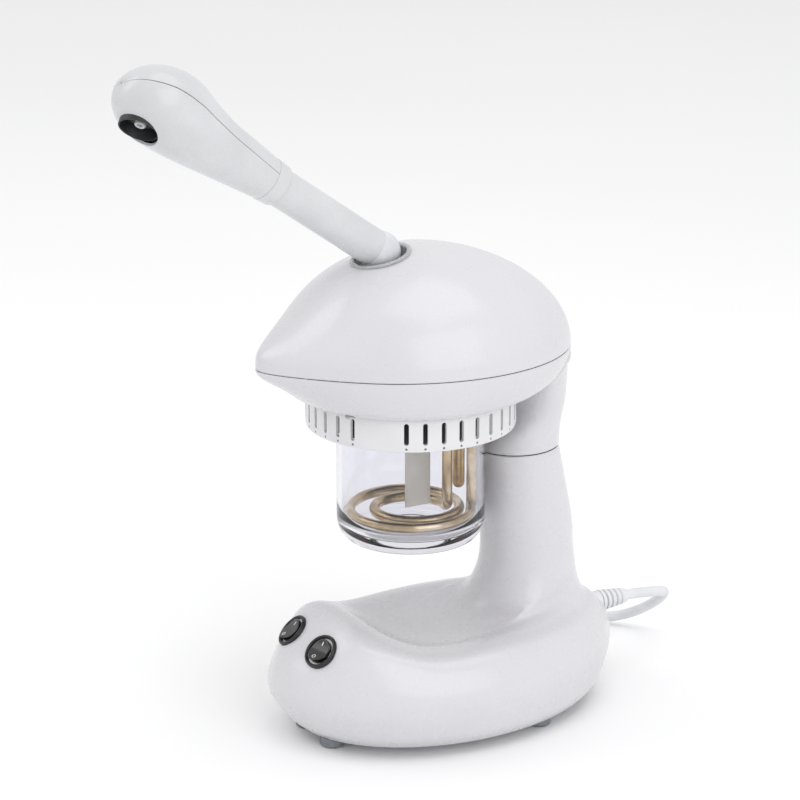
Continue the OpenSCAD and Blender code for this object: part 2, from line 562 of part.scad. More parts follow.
// Local frame of the arm: +Z out along the arm, +Y up and back, +X to the right.
module along_arm() translate([0, -socket_front, swivel_z]) rotate([90 - arm_slope, 0, 0]) children();
ring_hole_r = ball_r + 3.6;
module socket_ring() color("#c3c6cb") in_socket() difference() {
    union() {
        translate([0, 0, ring_top - 12]) cylinder(r = socket_r - clearance, h = 12);
        translate([0, 0, ring_top - 1.9]) cylinder(r = socket_r + 0.8, h = 1.9);
    }
    translate([0, 0, ring_top - 10]) cylinder(r = ring_hole_r, h = 12);
    translate([0, 0, ring_top - 13]) cylinder(r = duct_in + 1, h = 14);
}
spigot_r = arm_d / 2 - arm_wall;
spigot_len = 34;
stem_len = 26;
module swivel_elbow() color("#d6d8dc") difference() {
    union() {
        in_socket() sphere(r = ball_r, $fn = 48);
        in_socket() translate([0, 0, -stem_len]) cylinder(r = duct_in - fit, h = stem_len - 4);
        along_arm() cylinder(r = spigot_r - 0.02, h = spigot_len);
    }
    in_socket() translate([0, 0, -stem_len - 1]) cylinder(r = duct_in - 2, h = stem_len + 1);
    along_arm() cylinder(r = spigot_r - 2, h = spigot_len + 1);
}
tube_to = arm_len + 30;
module arm_tube() color("#eeeef1") difference() {
    along_arm() tube(arm_d / 2, spigot_r, tube_to);
    in_socket() sphere(r = ball_r + 0.2, $fn = 48);
    along_arm() translate([0, 0, -1]) cylinder(r = arm_d, h = 5);
}
module tube_ring() color("#2b2b2e") along_arm() translate([0, 0, tube_to - 6])
    tube(arm_d / 2 + 1.2, arm_d / 2, 2);

// ---------- nozzle ----------
module in_nozzle() along_arm() rotate([0, 0, nozzle_rest]) children();
collar_len = 9;
module nozzle_collar() color("#ececf0") in_nozzle() translate([0, 0, arm_len]) difference() {
    cylinder(r1 = arm_d / 2 + 1.5, r2 = arm_d / 2 + 2.2, h = collar_len);
    translate([0, 0, -1]) cylinder(r = arm_d / 2 + fit, h = collar_len + 2);
}
// Key sections along the arm: [distance, lowest, seam, highest, half width]
nozzle_keys = [
    [collar_len, -13.6, 0, 13.6, 13.6],
    [28, -16, 1, 15.5, 16],
    [47, -18.5, 2, 17, 18.5],
    [64, -20.5, 3, 21, 22],
    [80, -21.5, 4, 26, 25.5],
    [97, -21, 4, 24.5, 26],
    [110, -16, 3, 18, 20],
    [117, -8, 2, 9.5, 11],
    [nozzle_len - 2, 0, 1, 2, 1]];
function nozzle_point(k, a) =
    let (c = cos(a), y = c > 0 ? k[2] - (k[2] - k[1]) * c : k[2] - (k[3] - k[2]) * c)
    [k[4] * sin(a), y, arm_len + k[0]];
half_cols = 14;
nozzle_wall = 1.6;
function nozzle_grid(from, to) = [for (k = spline(nozzle_keys, 2))
    [for (j = [0 : half_cols]) nozzle_point(k, mix(from, to, j / half_cols))]];
lower_grid = nozzle_grid(-89.3, 89.3);
upper_grid = nozzle_grid(90.7, 269.3);
mouth_s = arm_len + 99;
mouth_r = 12.4;
mouth_depth = -18.8;
module at_mouth() in_nozzle() translate([0, mouth_depth, mouth_s]) rotate([90, 0, 0]) children();
module nozzle_lower_shell() color("#ececf0") difference() {
    in_nozzle() wall_between(lower_grid, inset(lower_grid, nozzle_wall, false), false);
    at_mouth() translate([0, 0, -12]) cylinder(r = mouth_r, h = 20);
}
module nozzle_upper_shell() color("#ececf0") in_nozzle()
    wall_between(upper_grid, inset(upper_grid, nozzle_wall, false), false);
module nozzle_mouth() color("#1c1d20") at_mouth() rotate_extrude() polygon([[4, -12], [mouth_r - 0.2, -10],
    [mouth_r - 0.2, -0.6], [mouth_r - 1.4, -0.6], [mouth_r - 3, -8], [4, -9.6]]);
jet_r = 4;
jet_root = -12;              // the jet's inner end, from the mouth
branch_y = mouth_depth - jet_root + gap / 10;
module nozzle_jet() color("#d8d8d4") at_mouth() translate([0, 0, jet_root]) tube(jet_r, 1.6, 4.6);
module nozzle_duct() color("#d9d9dc") in_nozzle() difference() {
    union() {
        translate([0, 0, tube_to + 1]) cylinder(r = 6.6, h = mouth_s - tube_to + 6);
        translate([0, branch_y, mouth_s]) rotate([-90, 0, 0]) cylinder(r = jet_r, h = -branch_y);
    }
    translate([0, 0, tube_to]) cylinder(r = 5.2, h = mouth_s - tube_to + 5);
    translate([0, -8, mouth_s]) rotate([-90, 0, 0]) cylinder(r = 2.4, h = 8);
}
place() base_shell();
place() base_plate();
place() screw_posts();
place() base_plate_screws();
place() rubber_feet();
place() switch_body(-1);  // left_switch_body
place() switch_body(1);  // right_switch_body
place() rocker(-1);  // left_rocker
place() rocker(1);  // right_rocker
place() switch_pins();
place() terminal_block();
place() lamp_ballast();
place() wiring_loom();
place() cord_strain_relief();
place() power_cord();
place() cord_coil();
place() cord_tie();
place() power_plug();
place() plug_pins();
place() neck_cover();
place() head_lower_shell();
place() head_upper_shell();
place() head_screws();
place() head_posts();
place() vent_ring();
place() vent_ring_screws();
place() boiler_lid();
place() jar_seal();
place() glass_jar();
place() heater_tube();
place() heater_nuts();
place() thermostat_pocket();
place() thermal_cutout();
place() level_strip();
place() steam_duct();
place() lamp_holder();
place() ozone_lamp();
place() socket_ring();
place() swivel_elbow();
place() arm_tube();
place() tube_ring();
place() nozzle_collar();
place() nozzle_lower_shell();
place() nozzle_upper_shell();
place() nozzle_mouth();
place() nozzle_jet();
place() nozzle_duct();
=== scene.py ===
"""Desk-top facial steamer: the visible pieces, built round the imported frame.

All shapes are worked out in millimetres with the jar's axis at x = y = 0 and the table at z = 0,
and are moved to the frame and turned to metres when their meshes are made.
"""

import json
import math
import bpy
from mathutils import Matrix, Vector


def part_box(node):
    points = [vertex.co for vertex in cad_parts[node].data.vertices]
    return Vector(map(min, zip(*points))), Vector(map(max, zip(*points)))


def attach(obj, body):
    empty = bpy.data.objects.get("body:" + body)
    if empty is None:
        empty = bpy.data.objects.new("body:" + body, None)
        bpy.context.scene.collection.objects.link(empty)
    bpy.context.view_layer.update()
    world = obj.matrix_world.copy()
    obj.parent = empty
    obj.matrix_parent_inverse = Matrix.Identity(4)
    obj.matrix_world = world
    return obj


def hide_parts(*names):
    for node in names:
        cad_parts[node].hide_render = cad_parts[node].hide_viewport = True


bl_info = {
    "name": "Facial steamer",
    "version": (1, 0, 0),
    "blender": (4, 5, 0),
    "location": "3D View > Sidebar > Steamer",
    "description": "Builds a desk-top facial steamer round its packed frame",
    "category": "Object",
}

import bmesh
import bpy
import numpy as np
from mathutils import Matrix, Vector

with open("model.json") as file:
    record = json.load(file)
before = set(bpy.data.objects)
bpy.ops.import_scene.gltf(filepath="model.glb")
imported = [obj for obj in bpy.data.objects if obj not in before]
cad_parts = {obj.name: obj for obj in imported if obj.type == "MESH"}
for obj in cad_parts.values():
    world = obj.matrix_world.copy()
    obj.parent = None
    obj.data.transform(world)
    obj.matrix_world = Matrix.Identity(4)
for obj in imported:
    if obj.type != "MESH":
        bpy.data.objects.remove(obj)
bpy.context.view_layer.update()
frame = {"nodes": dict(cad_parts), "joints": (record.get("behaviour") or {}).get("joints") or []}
MM = 0.001


# ---------- sizes that come from the frame ----------
def box_mm(node):
    """Lowest and highest corner of a CAD node, in millimetres."""
    low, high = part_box(node)
    return low / MM, high / MM


def joint(name):
    """A joint of the frame by its name."""
    return next(j for j in frame["joints"] if j["name"] == name)


JAR_LOW, JAR_HIGH = box_mm("glass_jar")
RING_LOW, RING_HIGH = box_mm("vent_ring")
HEAD_LOW, HEAD_HIGH = box_mm("head_upper_shell")
BASE_LOW, BASE_HIGH = box_mm("base_shell")
ORIGIN_Y = (RING_LOW.y + RING_HIGH.y) / 2     # the jar's axis in the frame

BASE_HALF_W = BASE_HIGH.x
BASE_FRONT = ORIGIN_Y - BASE_LOW.y
BASE_REAR = 144.0
BASE_H = 57.0
CREST_H = 82.0
FOOT_H = BASE_LOW.z
COLUMN_TOP = BASE_HIGH.z
COLUMN_BACK = 77.0
COLUMN_HALF_W = 26.0
COLUMN_HALF_D = 29.0
SEAM_Z = HEAD_LOW.z
HEAD_HALF_W = HEAD_HIGH.x
HEAD_HALF_D = 95.0
HEAD_BACK = 10.0
DOME_H = 66.0
BEAK = 21.0
RING_R = RING_HIGH.x
RING_Z = RING_LOW.z
BOWL_Z = RING_HIGH.z
BOWL_R = RING_R + 2
JAR_Z = JAR_LOW.z
JAR_TOP = JAR_HIGH.z
JAR_R = 47.0
GLASS_T = 3.2
JAR_FLOOR = 8.0
SHELL_WALL = 2.6
NECK_WALL = 1.6
ARM_R = 11.7
ARM_LEN = 84.0
NOZZLE_LEN = 121.0
NOZZLE_WALL = 1.6
NOZZLE_REST = 24.0                            # the nozzle's turn about the arm at rest, in degrees
MOUTH_S = ARM_LEN + 99
MOUTH_DEPTH = -18.8
MOUTH_R = 12.2
BALL_R = 13.0
SOCKET_R = 18.6
RING_TOP = -1.4
HEATER_D = 6.6
HEATER_R = 38.5
HEATER_INNER_R = 23.0
TURNS_Z = JAR_Z + 17
LEG_TURN = 61.0
POCKET_AT = (5, 32.5, 0)
POCKET_R = 4.0
LEAD_D = 7.0
COIL_CENTRE = (-100.0, 133.0)

PIVOT = Vector(joint("arm_swivel")["pos_m"]) / MM - Vector((0, ORIGIN_Y, 0))
SOCKET_AXIS = Vector(joint("arm_swivel")["axis"])
ARM_AXIS = Vector(joint("nozzle_turn")["axis"])


# ---------- numbers and curves ----------
def spline(keys, steps):
    """Catmull-Rom curve through points or key sections, with steps points for each span."""
    k = [np.array(p, float) for p in keys]
    last = len(k) - 1
    out = []
    for i in range(last):
        a, b, c, d = k[max(i - 1, 0)], k[i], k[i + 1], k[min(i + 2, last)]
        for s in range(steps):
            t = s / steps
            out.append(0.5 * (2 * b + (c - a) * t + (2 * a - 5 * b + 4 * c - d) * t**2
                              + (3 * b - a - 3 * c + d) * t**3))
    out.append(k[last])
    return out


def spline_at(keys, place):
    """The curve's value at one place, counted in spans."""
    span = min(int(place), len(keys) - 2)
    return spline(keys[max(span - 1, 0):span + 3], 1000)[
        round((place - span + (1 if span > 0 else 0)) * 1000)]


def mix(a, b, t):
    return a + (b - a) * t


def smooth(t):
    """Eased step from 0 to 1."""
    t = max(0.0, min(1.0, t))
    return t * t * (3 - 2 * t)


def sin_d(a):
    return math.sin(math.radians(a))


def cos_d(a):
    return math.cos(math.radians(a))


# ---------- meshes ----------
def new_object(name, mesh):
    obj = bpy.data.objects.new(name, mesh)
    bpy.context.scene.collection.objects.link(obj)
    return obj


def sharpen(mesh, angle=32):
    """Shade smooth, but keep edges that turn more than angle degrees crisp."""
    mesh.polygons.foreach_set("use_smooth", [True] * len(mesh.polygons))
    mesh.set_sharp_from_angle(angle=math.radians(angle))


def mesh_piece(name, points, faces, outward=True):
    """A mesh object from points in millimetres in the jar's frame."""
    mesh = bpy.data.meshes.new(name)
    mesh.from_pydata([(p[0] * MM, (p[1] + ORIGIN_Y) * MM, p[2] * MM) for p in points], [], faces)
    if outward:
        work = bmesh.new()
        work.from_mesh(mesh)
        bmesh.ops.remove_doubles(work, verts=work.verts, dist=1e-7)
        bmesh.ops.recalc_face_normals(work, faces=work.faces)
        work.to_mesh(mesh)
        work.free()
    sharpen(mesh)
    return new_object(name, mesh)


def baked(obj, angle=32):
    """The object with its modifiers worked into a plain mesh."""
    graph = bpy.context.evaluated_depsgraph_get()
    mesh = bpy.data.meshes.new_from_object(obj.evaluated_get(graph))
    obj.modifiers.clear()
    obj.data = mesh
    sharpen(mesh, angle)
    return obj


def walled(obj, wall, angle=32):
    """A skin given a wall of even thickness on its inner side."""
    solid = obj.modifiers.new("wall", "SOLIDIFY")
    solid.thickness = wall * MM
    solid.offset = -1
    return baked(obj, angle)


def grid_faces(rows, cols, closed=True):
    """Quads of a grid of rows and columns, wound so that rising rows face outwards."""
    last = cols if closed else cols - 1
    corners = [(i * cols, j, (j + 1) % cols) for i in range(rows - 1) for j in range(last)]
    return [(at + j, at + k, at + cols + k, at + cols + j) for at, j, k in corners]


def end_faces(rows, cols):
    """The two faces that close the ends of a grid of rows and columns."""
    return [list(range(cols))[::-1], [(rows - 1) * cols + j for j in range(cols)]]


def skin(name, rows, closed=True):
    """A skin through rows of points."""
    points = [p for row in rows for p in row]
    return mesh_piece(name, points, grid_faces(len(rows), len(rows[0]), closed), outward=False)


def facing_out(obj):
    """Turn an open skin's faces away from the middle of its box."""
    mesh = obj.data
    centre = sum((v.co for v in mesh.vertices), Vector()) / len(mesh.vertices)
    score = sum((p.center - centre).dot(p.normal) * p.area for p in mesh.polygons)
    if score < 0:
        mesh.flip_normals()
    return obj


SEAM_EASE = 0.7                 # how far from a seam a shell starts to turn in, in millimetres


def with_seam(rows, middle, at_top):
    """A skin's rows with their first or last row drawn in towards the middle, as half of the
    groove between two shells."""
    edge = rows[-1] if at_top else rows[0]
    eased = [p + Vector((0, 0, -SEAM_EASE if at_top else SEAM_EASE)) for p in edge]
    lip = [p + (middle - p).normalized() * sizes().seam_groove for p in edge]
    return rows[:-1] + [eased, lip] if at_top else [lip, eased] + rows[1:]


def lathe(name, profile, place=Matrix.Identity(4), steps=96, looped=False):
    """A profile of (radius, height) points turned round the local z axis and set by place.
    A profile that starts and ends on the axis is closed by its poles, and a looped one joins up."""
    on_axis = 1e-6
    points, rings = [], []
    for r, z in profile:
        if r < on_axis:
            rings.append([len(points)])
            points.append(place @ Vector((0, 0, z)))
        else:
            rings.append(list(range(len(points), len(points) + steps)))
            turns = [math.tau * j / steps for j in range(steps)]
            points += [place @ Vector((r * math.cos(a), r * math.sin(a), z)) for a in turns]
    faces = []
    pairs = list(zip(rings, rings[1:] + ([rings[0]] if looped else [])))
    for a, b in pairs:
        for j in range(steps):
            k = (j + 1) % steps
            corners = [a[j % len(a)], a[k % len(a)], b[k % len(b)], b[j % len(b)]]
            face = [c for i, c in enumerate(corners) if c not in corners[:i]]
            if len(face) > 2:
                faces.append(face)
    return mesh_piece(name, points, faces)


def rounded(corners, steps=4):
    """A profile with its corners rounded. Each corner is (radius, height) or (radius, height, round)."""
    out = []
    count = len(corners)
    for i, corner in enumerate(corners):
        p = Vector(corner[:2])
        r = corner[2] if len(corner) > 2 else 0
        if not r:
            out.append(tuple(p))
            continue
        before = (Vector(corners[i - 1][:2]) - p)
        after = (Vector(corners[(i + 1) % count][:2]) - p)
        a = p + before.normalized() * min(r, before.length / 2)
        b = p + after.normalized() * min(r, after.length / 2)
        for s in range(steps + 1):
            t = s / steps
            out.append(tuple(a * (1 - t)**2 + p * 2 * t * (1 - t) + b * t * t))
    return out


def tube_along(name, path, radius, sides):
    """A round tube swept along points, closed at both ends."""
    path = [Vector(p) for p in path]
    count = len(path)
    points = []
    side = None
    for i, p in enumerate(path):
        along = (path[min(i + 1, count - 1)] - path[max(i - 1, 0)]).normalized()
        if side is None:
            side = along.orthogonal().normalized()
        side = (side - along * side.dot(along)).normalized()
        up = along.cross(side)
        turns = [math.tau * j / sides for j in range(sides)]
        points += [p + radius * (math.cos(a) * side + math.sin(a) * up) for a in turns]
    return mesh_piece(name, points, grid_faces(count, sides) + end_faces(count, sides))


def block(name, size, place, bevel=0.6, segments=3):
    """A box with rounded edges; size is its full extent and place sets its middle."""
    work = bmesh.new()
    bmesh.ops.create_cube(work, size=1)
    bmesh.ops.scale(work, vec=size, verts=work.verts)
    bmesh.ops.bevel(work, geom=work.edges[:], offset=bevel, segments=segments, affect="EDGES", profile=0.5)
    points = [place @ v.co for v in work.verts]
    faces = [[v.index for v in f.verts] for f in work.faces]
    work.free()
    return mesh_piece(name, points, faces)


def cut(obj, tool, angle=32):
    """Take one closed mesh away from another."""
    boolean = obj.modifiers.new("cut", "BOOLEAN")
    boolean.operation = "DIFFERENCE"
    boolean.solver = "EXACT"
    boolean.object = tool
    bpy.context.view_layer.update()
    baked(obj, angle)
    bpy.data.objects.remove(tool)
    return obj


def joined(name, pieces):
    """Several objects made one mesh."""
    points, faces = [], []
    for piece in pieces:
        start = len(points)
        points += [v.co.copy() for v in piece.data.vertices]
        faces += [[start + v for v in p.vertices] for p in piece.data.polygons]
        bpy.data.objects.remove(piece)
    mesh = bpy.data.meshes.new(name)
    mesh.from_pydata(points, [], faces)
    sharpen(mesh)
    return new_object(name, mesh)


def dress(obj, material, body, slot, *nodes):
    """Give a finished piece its material, its body and the CAD nodes it stands for; the slot is not used.
    """
    obj.data.materials.clear()
    obj.data.materials.append(material)
    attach(obj, body)
    if nodes:
        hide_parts(*nodes)
    return obj


def pearl_shell(name, rows, wall, node):
    """A moulded shell of the stand, through rows of points, that stands for a CAD node."""
    shell = walled(facing_out(skin(name, rows)), wall)
    return dress(shell, pearl_abs(), "stand", "white_shell", node)


# ---------- materials ----------
def colour(code):
    """sRGB hex to linear RGBA."""
    parts = [int(code[i:i + 2], 16) / 255 for i in (0, 2, 4)]
    return tuple(c / 12.92 if c <= 0.04045 else ((c + 0.055) / 1.055)**2.4 for c in parts) + (1.0,)


def add(tree, kind, inputs=(), **settings):
    """A node with its settings; an input is a value or a socket to link from."""
    made = tree.nodes.new(kind)
    for key, value in settings.items():
        setattr(made, key, value)
    for key, value in dict(inputs).items():
        if isinstance(value, bpy.types.NodeSocket):
            tree.links.new(value, made.inputs[key])
        else:
            made.inputs[key].default_value = value
    return made


def blank(name):
    """A new material with only its output, and the object coordinates to hang patterns on."""
    material = bpy.data.materials.new(name)
    material.use_nodes = True
    tree = material.node_tree
    tree.nodes.clear()
    out = add(tree, "ShaderNodeOutputMaterial")
    where = add(tree, "ShaderNodeTexCoord").outputs["Object"]
    return material, tree, out, where


def per_metre(size_mm):
    """The scale at which a noise's features are about this many millimetres across."""
    return 1000 / size_mm


def noise(tree, where, size_mm, detail=2.0):
    """Noise output whose features are size_mm across."""
    made = add(tree, "ShaderNodeTexNoise", {"Vector": where, "Scale": per_metre(size_mm), "Detail": detail})
    return made.outputs["Fac"]


def shades(tree, fac, *stops):
    """A colour ramp of (place, hex) stops."""
    ramp = add(tree, "ShaderNodeValToRGB", {"Fac": fac})
    band = ramp.color_ramp
    while len(band.elements) < len(stops):
        band.elements.new(0.5)
    for element, (at, code) in zip(band.elements, stops):
        element.position = at
        element.color = colour(code)
    return ramp.outputs["Color"]


def ranged(tree, value, low, high):
    """A 0 to 1 value spread between low and high."""
    made = add(tree, "ShaderNodeMapRange", {"Value": value, "To Min": low, "To Max": high})
    return made.outputs["Result"]


def bump(tree, height, strength, depth_mm):
    made = add(tree, "ShaderNodeBump", {"Height": height, "Strength": strength, "Distance": depth_mm * MM})
    return made.outputs["Normal"]


def finish(material, tree, out, **inputs):
    """A principled shader with these inputs on the material's output."""
    named = {key.replace("_", " "): value for key, value in inputs.items()}
    shader = add(tree, "ShaderNodeBsdfPrincipled", named)
    tree.links.new(shader.outputs["BSDF"], out.inputs["Surface"])
    return material


def once(maker):
    """Make a material the first time it is asked for and hand back the same one after."""
    made = {}

    def ask(*args):
        if args not in made:
            made[args] = maker(*args)
        return made[args]
    return ask


@once
def pearl_abs():
    """Injection-moulded ABS with a pearl pigment: a cool white with faint flow clouds tens of
    millimetres across and a gloss that a slight orange peel varies, drawn coarse enough to show."""
    material, tree, out, where = blank("Moulded pearl ABS")
    tint = bpy.context.scene.steamer_colours
    clouds = noise(tree, where, 45, 1.5)
    peel = noise(tree, where, 9, 1.0)
    shells = {0: ranged(tree, clouds, 0.0, 1.0), 6: colour(tint.shell), 7: colour(tint.shell_shade)}
    base = add(tree, "ShaderNodeMix", shells, data_type="RGBA")
    return finish(material, tree, out, Base_Color=base.outputs[2], IOR=1.53, Coat_Weight=0.25,
                  Coat_Roughness=0.12, Roughness=ranged(tree, peel, 0.24, 0.32))


def patterned(name, shade, clouds, rough, grain=None, relief=None, **inputs):
    """A material whose colour follows slow clouds, and whose gloss and relief follow a finer grain.
    shade holds the darker and lighter hex, clouds and grain the size in millimetres and detail of
    each noise, rough the lowest and highest roughness, and relief the bump's strength and depth."""
    material, tree, out, where = blank(name)
    slow = noise(tree, where, *clouds)
    fine = noise(tree, where, *grain) if grain else slow
    if relief:
        inputs["Normal"] = bump(tree, fine, *relief)
    return finish(material, tree, out, Base_Color=shades(tree, slow, (0.3, shade[0]), (0.7, shade[1])),
                  Roughness=ranged(tree, fine, *rough) if isinstance(rough, tuple) else rough, **inputs)


@once
def white_abs():
    """Injection-moulded white ABS, satin: plain white with a fine even texture."""
    return patterned("Moulded white ABS", ("D6D6D7", "DCDCDD"), (20, 2.0), (0.3, 0.4), (6, 1.0),
                     (0.02, 0.1), IOR=1.53)


@once
def arm_abs():
    """Moulded ABS of the arm: a slightly greyer white than the shells, glossy, with a faint peel."""
    return patterned("Moulded arm ABS", ("C3C4C6", "CBCCCE"), (25, 2.0), (0.22, 0.32), (7, 1.0),
                     IOR=1.53, Coat_Weight=0.2, Coat_Roughness=0.1)


@once
def borosilicate():
    """Blown and pressed borosilicate glass: clear, faintly lilac in its thick floor, with slow
    waves of a few tenths of a millimetre left by the mould."""
    material, tree, out, where = blank("Pressed borosilicate glass")
    waves = noise(tree, where, 18, 1.0)
    return finish(material, tree, out, Base_Color=colour("F1F1F6"), Roughness=0.015, IOR=1.47,
                  Transmission_Weight=1.0, Normal=bump(tree, waves, 0.12, 0.4))


@once
def tinted_steel():
    """Drawn stainless tube that heat has tinted straw to bronze, in patches along its length."""
    material, tree, out, where = blank("Heat-tinted stainless tube")
    patches = noise(tree, where, 16, 3.0)
    streaks = noise(tree, where, 0.8, 2.0)
    return finish(material, tree, out,
                  Base_Color=shades(tree, patches, (0.28, "9A8464"), (0.5, "C4AC84"), (0.72, "E0D2B8")),
                  Metallic=1.0, Roughness=ranged(tree, streaks, 0.16, 0.3),
                  Normal=bump(tree, streaks, 0.1, 0.05))


@once
def turned_brass():
    """Turned brass: warm yellow with a few darker tarnish clouds and fine marks."""
    return patterned("Turned brass", ("B08A45", "D8B774"), (7, 3.0), (0.22, 0.36), (0.6, 1.0),
                     (0.1, 0.05), Metallic=1.0)


@once
def black_nylon():
    """Moulded black nylon: near black, satin, with a fine spark-eroded texture."""
    return patterned("Moulded black nylon", ("0E0E10", "18181B"), (0.9, 2.0), (0.38, 0.5),
                     relief=(0.12, 0.1), IOR=1.53)


@once
def gloss_black():
    """Polished black polycarbonate of the rockers, with faint finger haze."""
    return patterned("Polished black polycarbonate", ("0A0A0C", "101013"), (6, 2.0), (0.12, 0.24),
                     IOR=1.58)


@once
def print_ink():
    """Pad-printed white ink, matt."""
    return patterned("Pad-printed ink", ("D9D9DA", "EDEDED"), (0.5, 2.0), 0.6)


@once
def lead_pvc():
    """Extruded soft PVC of the lead: light grey, semi-matt, with a slight extrusion texture."""
    return patterned("Extruded PVC sheath", ("D2D3D6", "DDDEE0"), (14, 2.0), (0.42, 0.55), (0.8, 2.0),
                     (0.1, 0.1), IOR=1.5)


@once
def foot_rubber():
    """Moulded grey rubber: matt, with a dusty bloom."""
    return patterned("Moulded grey rubber", ("6D7075", "83868B"), (5, 3.0), (0.6, 0.75), (0.7, 2.0),
                     (0.2, 0.1))


@once
def clear_ring():
    """Clear acrylic of the socket ring: pale, glossy and slightly frosted inside."""
    return patterned("Moulded clear acrylic", ("D9DCDD", "ECEEEF"), (2.2, 2.0), (0.08, 0.2),
                     IOR=1.49, Transmission_Weight=0.55)


@once
def satin_part(name, dark, light, rough, metal):
    """Plain moulded, painted or plated parts: two close shades and a fine texture."""
    return patterned(name, (dark, light), (9, 3.0), (rough - 0.06, rough + 0.08), (0.9, 2.0),
                     (0.1, 0.08), Metallic=metal)


@once
def studio_floor():
    """Matt white studio floor."""
    return patterned("Painted studio floor", ("F4F4F4", "F6F6F6"), (900, 1.0), 0.7)


# ---------- the shapes' formulas ----------
ROUND = [2 * j for j in range(180)]     # where a shell's points stand round it, in degrees


def egg(front, widest, rear, half_w, a):
    """An egg outline: angle 0 is the front, then round by +X, the back and -X."""
    c = cos_d(a)
    return half_w * sin_d(a), widest - (widest - front) * c if c > 0 else widest - (rear - widest) * c


RIM_ROOM = 2.0                  # how far the column's front stands back for the jar's bead
COLUMN_F = COLUMN_BACK - COLUMN_HALF_D + RIM_ROOM
COLUMN_R = COLUMN_BACK + COLUMN_HALF_D
# Sections of base and column: front, widest, rear, half width, front height, rear height.
BASE_KEYS = [
    [-BASE_FRONT + 20, 22, BASE_REAR - 16, BASE_HALF_W - 7, FOOT_H, FOOT_H],
    [-BASE_FRONT + 11, 22, BASE_REAR - 8, BASE_HALF_W - 2, 15, 15],
    [-BASE_FRONT + 1, 22, BASE_REAR - 1, BASE_HALF_W, 30, 34],
    [-BASE_FRONT + 2, 23, BASE_REAR - 1, BASE_HALF_W - 3, 45, 50],
    [-BASE_FRONT + 14, 26, BASE_REAR - 9, BASE_HALF_W - 12, BASE_H + 1, 62],
    [-BASE_FRONT + 40, 32, BASE_REAR - 17, BASE_HALF_W - 25, BASE_H + 4, 68],
    [-8, 50, COLUMN_R + 17, BASE_HALF_W - 38, BASE_H - 2, 78],
    [34, 72, COLUMN_R + 14, COLUMN_HALF_W + 8, BASE_H + 4, 92],
    [COLUMN_F + 2, 82, COLUMN_R + 12, COLUMN_HALF_W + 4, BASE_H + 24, 106],
    [COLUMN_F + 6, 86, COLUMN_R + 10, COLUMN_HALF_W + 3, 112, 124],
    [COLUMN_F, COLUMN_BACK, COLUMN_R, COLUMN_HALF_W, COLUMN_TOP, COLUMN_TOP]]
SWITCH_ROW = 4.15               # how far up the sections a switch's middle stands
SWITCH_TURN = 18.0              # how far round from the front, in degrees
POD_Y = -54.0
POD_FALL = (20, 30, 60)         # how far the pod reaches forwards, backwards and sideways


def pod(x, y):
    """How far the control pod lifts the front of the base."""
    ahead = POD_FALL[0] if y < POD_Y else POD_FALL[1]
    return ((CREST_H - BASE_H - 4) * math.exp(-((y - POD_Y) / ahead)**2)
            * math.exp(-(x / POD_FALL[2])**2))


def base_point(k, a):
    """A point of the base's skin on section k. The pod's lift fades in above the widest line."""
    x, y = egg(k[0], k[1], k[2], k[3], a)
    z = mix(k[4], k[5], (1 - cos_d(a)) / 2)
    return Vector((x, y, z + max(0, min(1, (z - 34) / 24)) * pod(x, y)))


def on_panel(side):
    """The frame of a switch: its middle on the panel, with local z out of the panel."""
    def at(row, a):
        return base_point(spline_at(BASE_KEYS, row), a)
    middle = at(SWITCH_ROW, SWITCH_TURN)
    out = (at(SWITCH_ROW, SWITCH_TURN + 4) - at(SWITCH_ROW, SWITCH_TURN - 4)).cross(
        at(SWITCH_ROW + 0.2, SWITCH_TURN) - at(SWITCH_ROW - 0.2, SWITCH_TURN)).normalized()
    middle -= 0.4 * out
    tilt, yaw = math.acos(out.z), math.atan2(out.x, -out.y)
    return (Matrix.Translation((side * middle.x, middle.y, middle.z))
            @ Matrix.Rotation(side * yaw, 4, "Z") @ Matrix.Rotation(tilt, 4, "X"))


def head_outline(a):
    return HEAD_HALF_W * sin_d(a), HEAD_BACK - HEAD_HALF_D * cos_d(a)


def beak_at(a):
    """How far the beak draws the outline forward, round from the front."""
    d = a - 360 if a > 180 else a
    return BEAK * math.exp(-(abs(d) / 24)**1.6)


def dome_z(x, y):
    """Height of the dome over a point, a little lower towards the back."""
    q = (x / HEAD_HALF_W)**2 + ((y - HEAD_BACK) / HEAD_HALF_D)**2
    fall = 1 - 0.11 * max(0, (y - HEAD_BACK) / HEAD_HALF_D)
    return SEAM_Z + DOME_H * fall * math.sqrt(max(0, 1 - q))


def dome_point(a, t):
    """A point of the dome, from the seam at t = 0 up to the socket's hole at t = 1."""
    m = 1 - cos_d(90 * t)
    lean = SOCKET_AXIS
    centre_y = PIVOT.y - 3.54 * lean.y
    crown = (SOCKET_R * sin_d(a), centre_y - SOCKET_R * lean.z * cos_d(a))
    edge = head_outline(a)
    x, y = mix(edge[0], crown[0], m), mix(edge[1], crown[1], m)
    z = dome_z(x, y)
    lift = beak_at(a) * math.exp(-(max(0, z - SEAM_Z - 6) / 17)**2)
    return Vector((x, y - lift, z))


SEAM_GAP = 0.4


def bowl_point(a, t):
    """A point of the bowl, from the seam at t = 0 down to the vent ring at t = 1."""
    m = 1 - cos_d(90 * t)
    edge = head_outline(a)
    x, y = mix(edge[0], BOWL_R * sin_d(a), m), mix(edge[1], -BOWL_R * cos_d(a), m)
    drop = (SEAM_Z - SEAM_GAP - BOWL_Z) * sin_d(90 * t)
    return Vector((x, y - beak_at(a) * math.exp(-(drop / 13)**2), SEAM_Z - SEAM_GAP - drop))


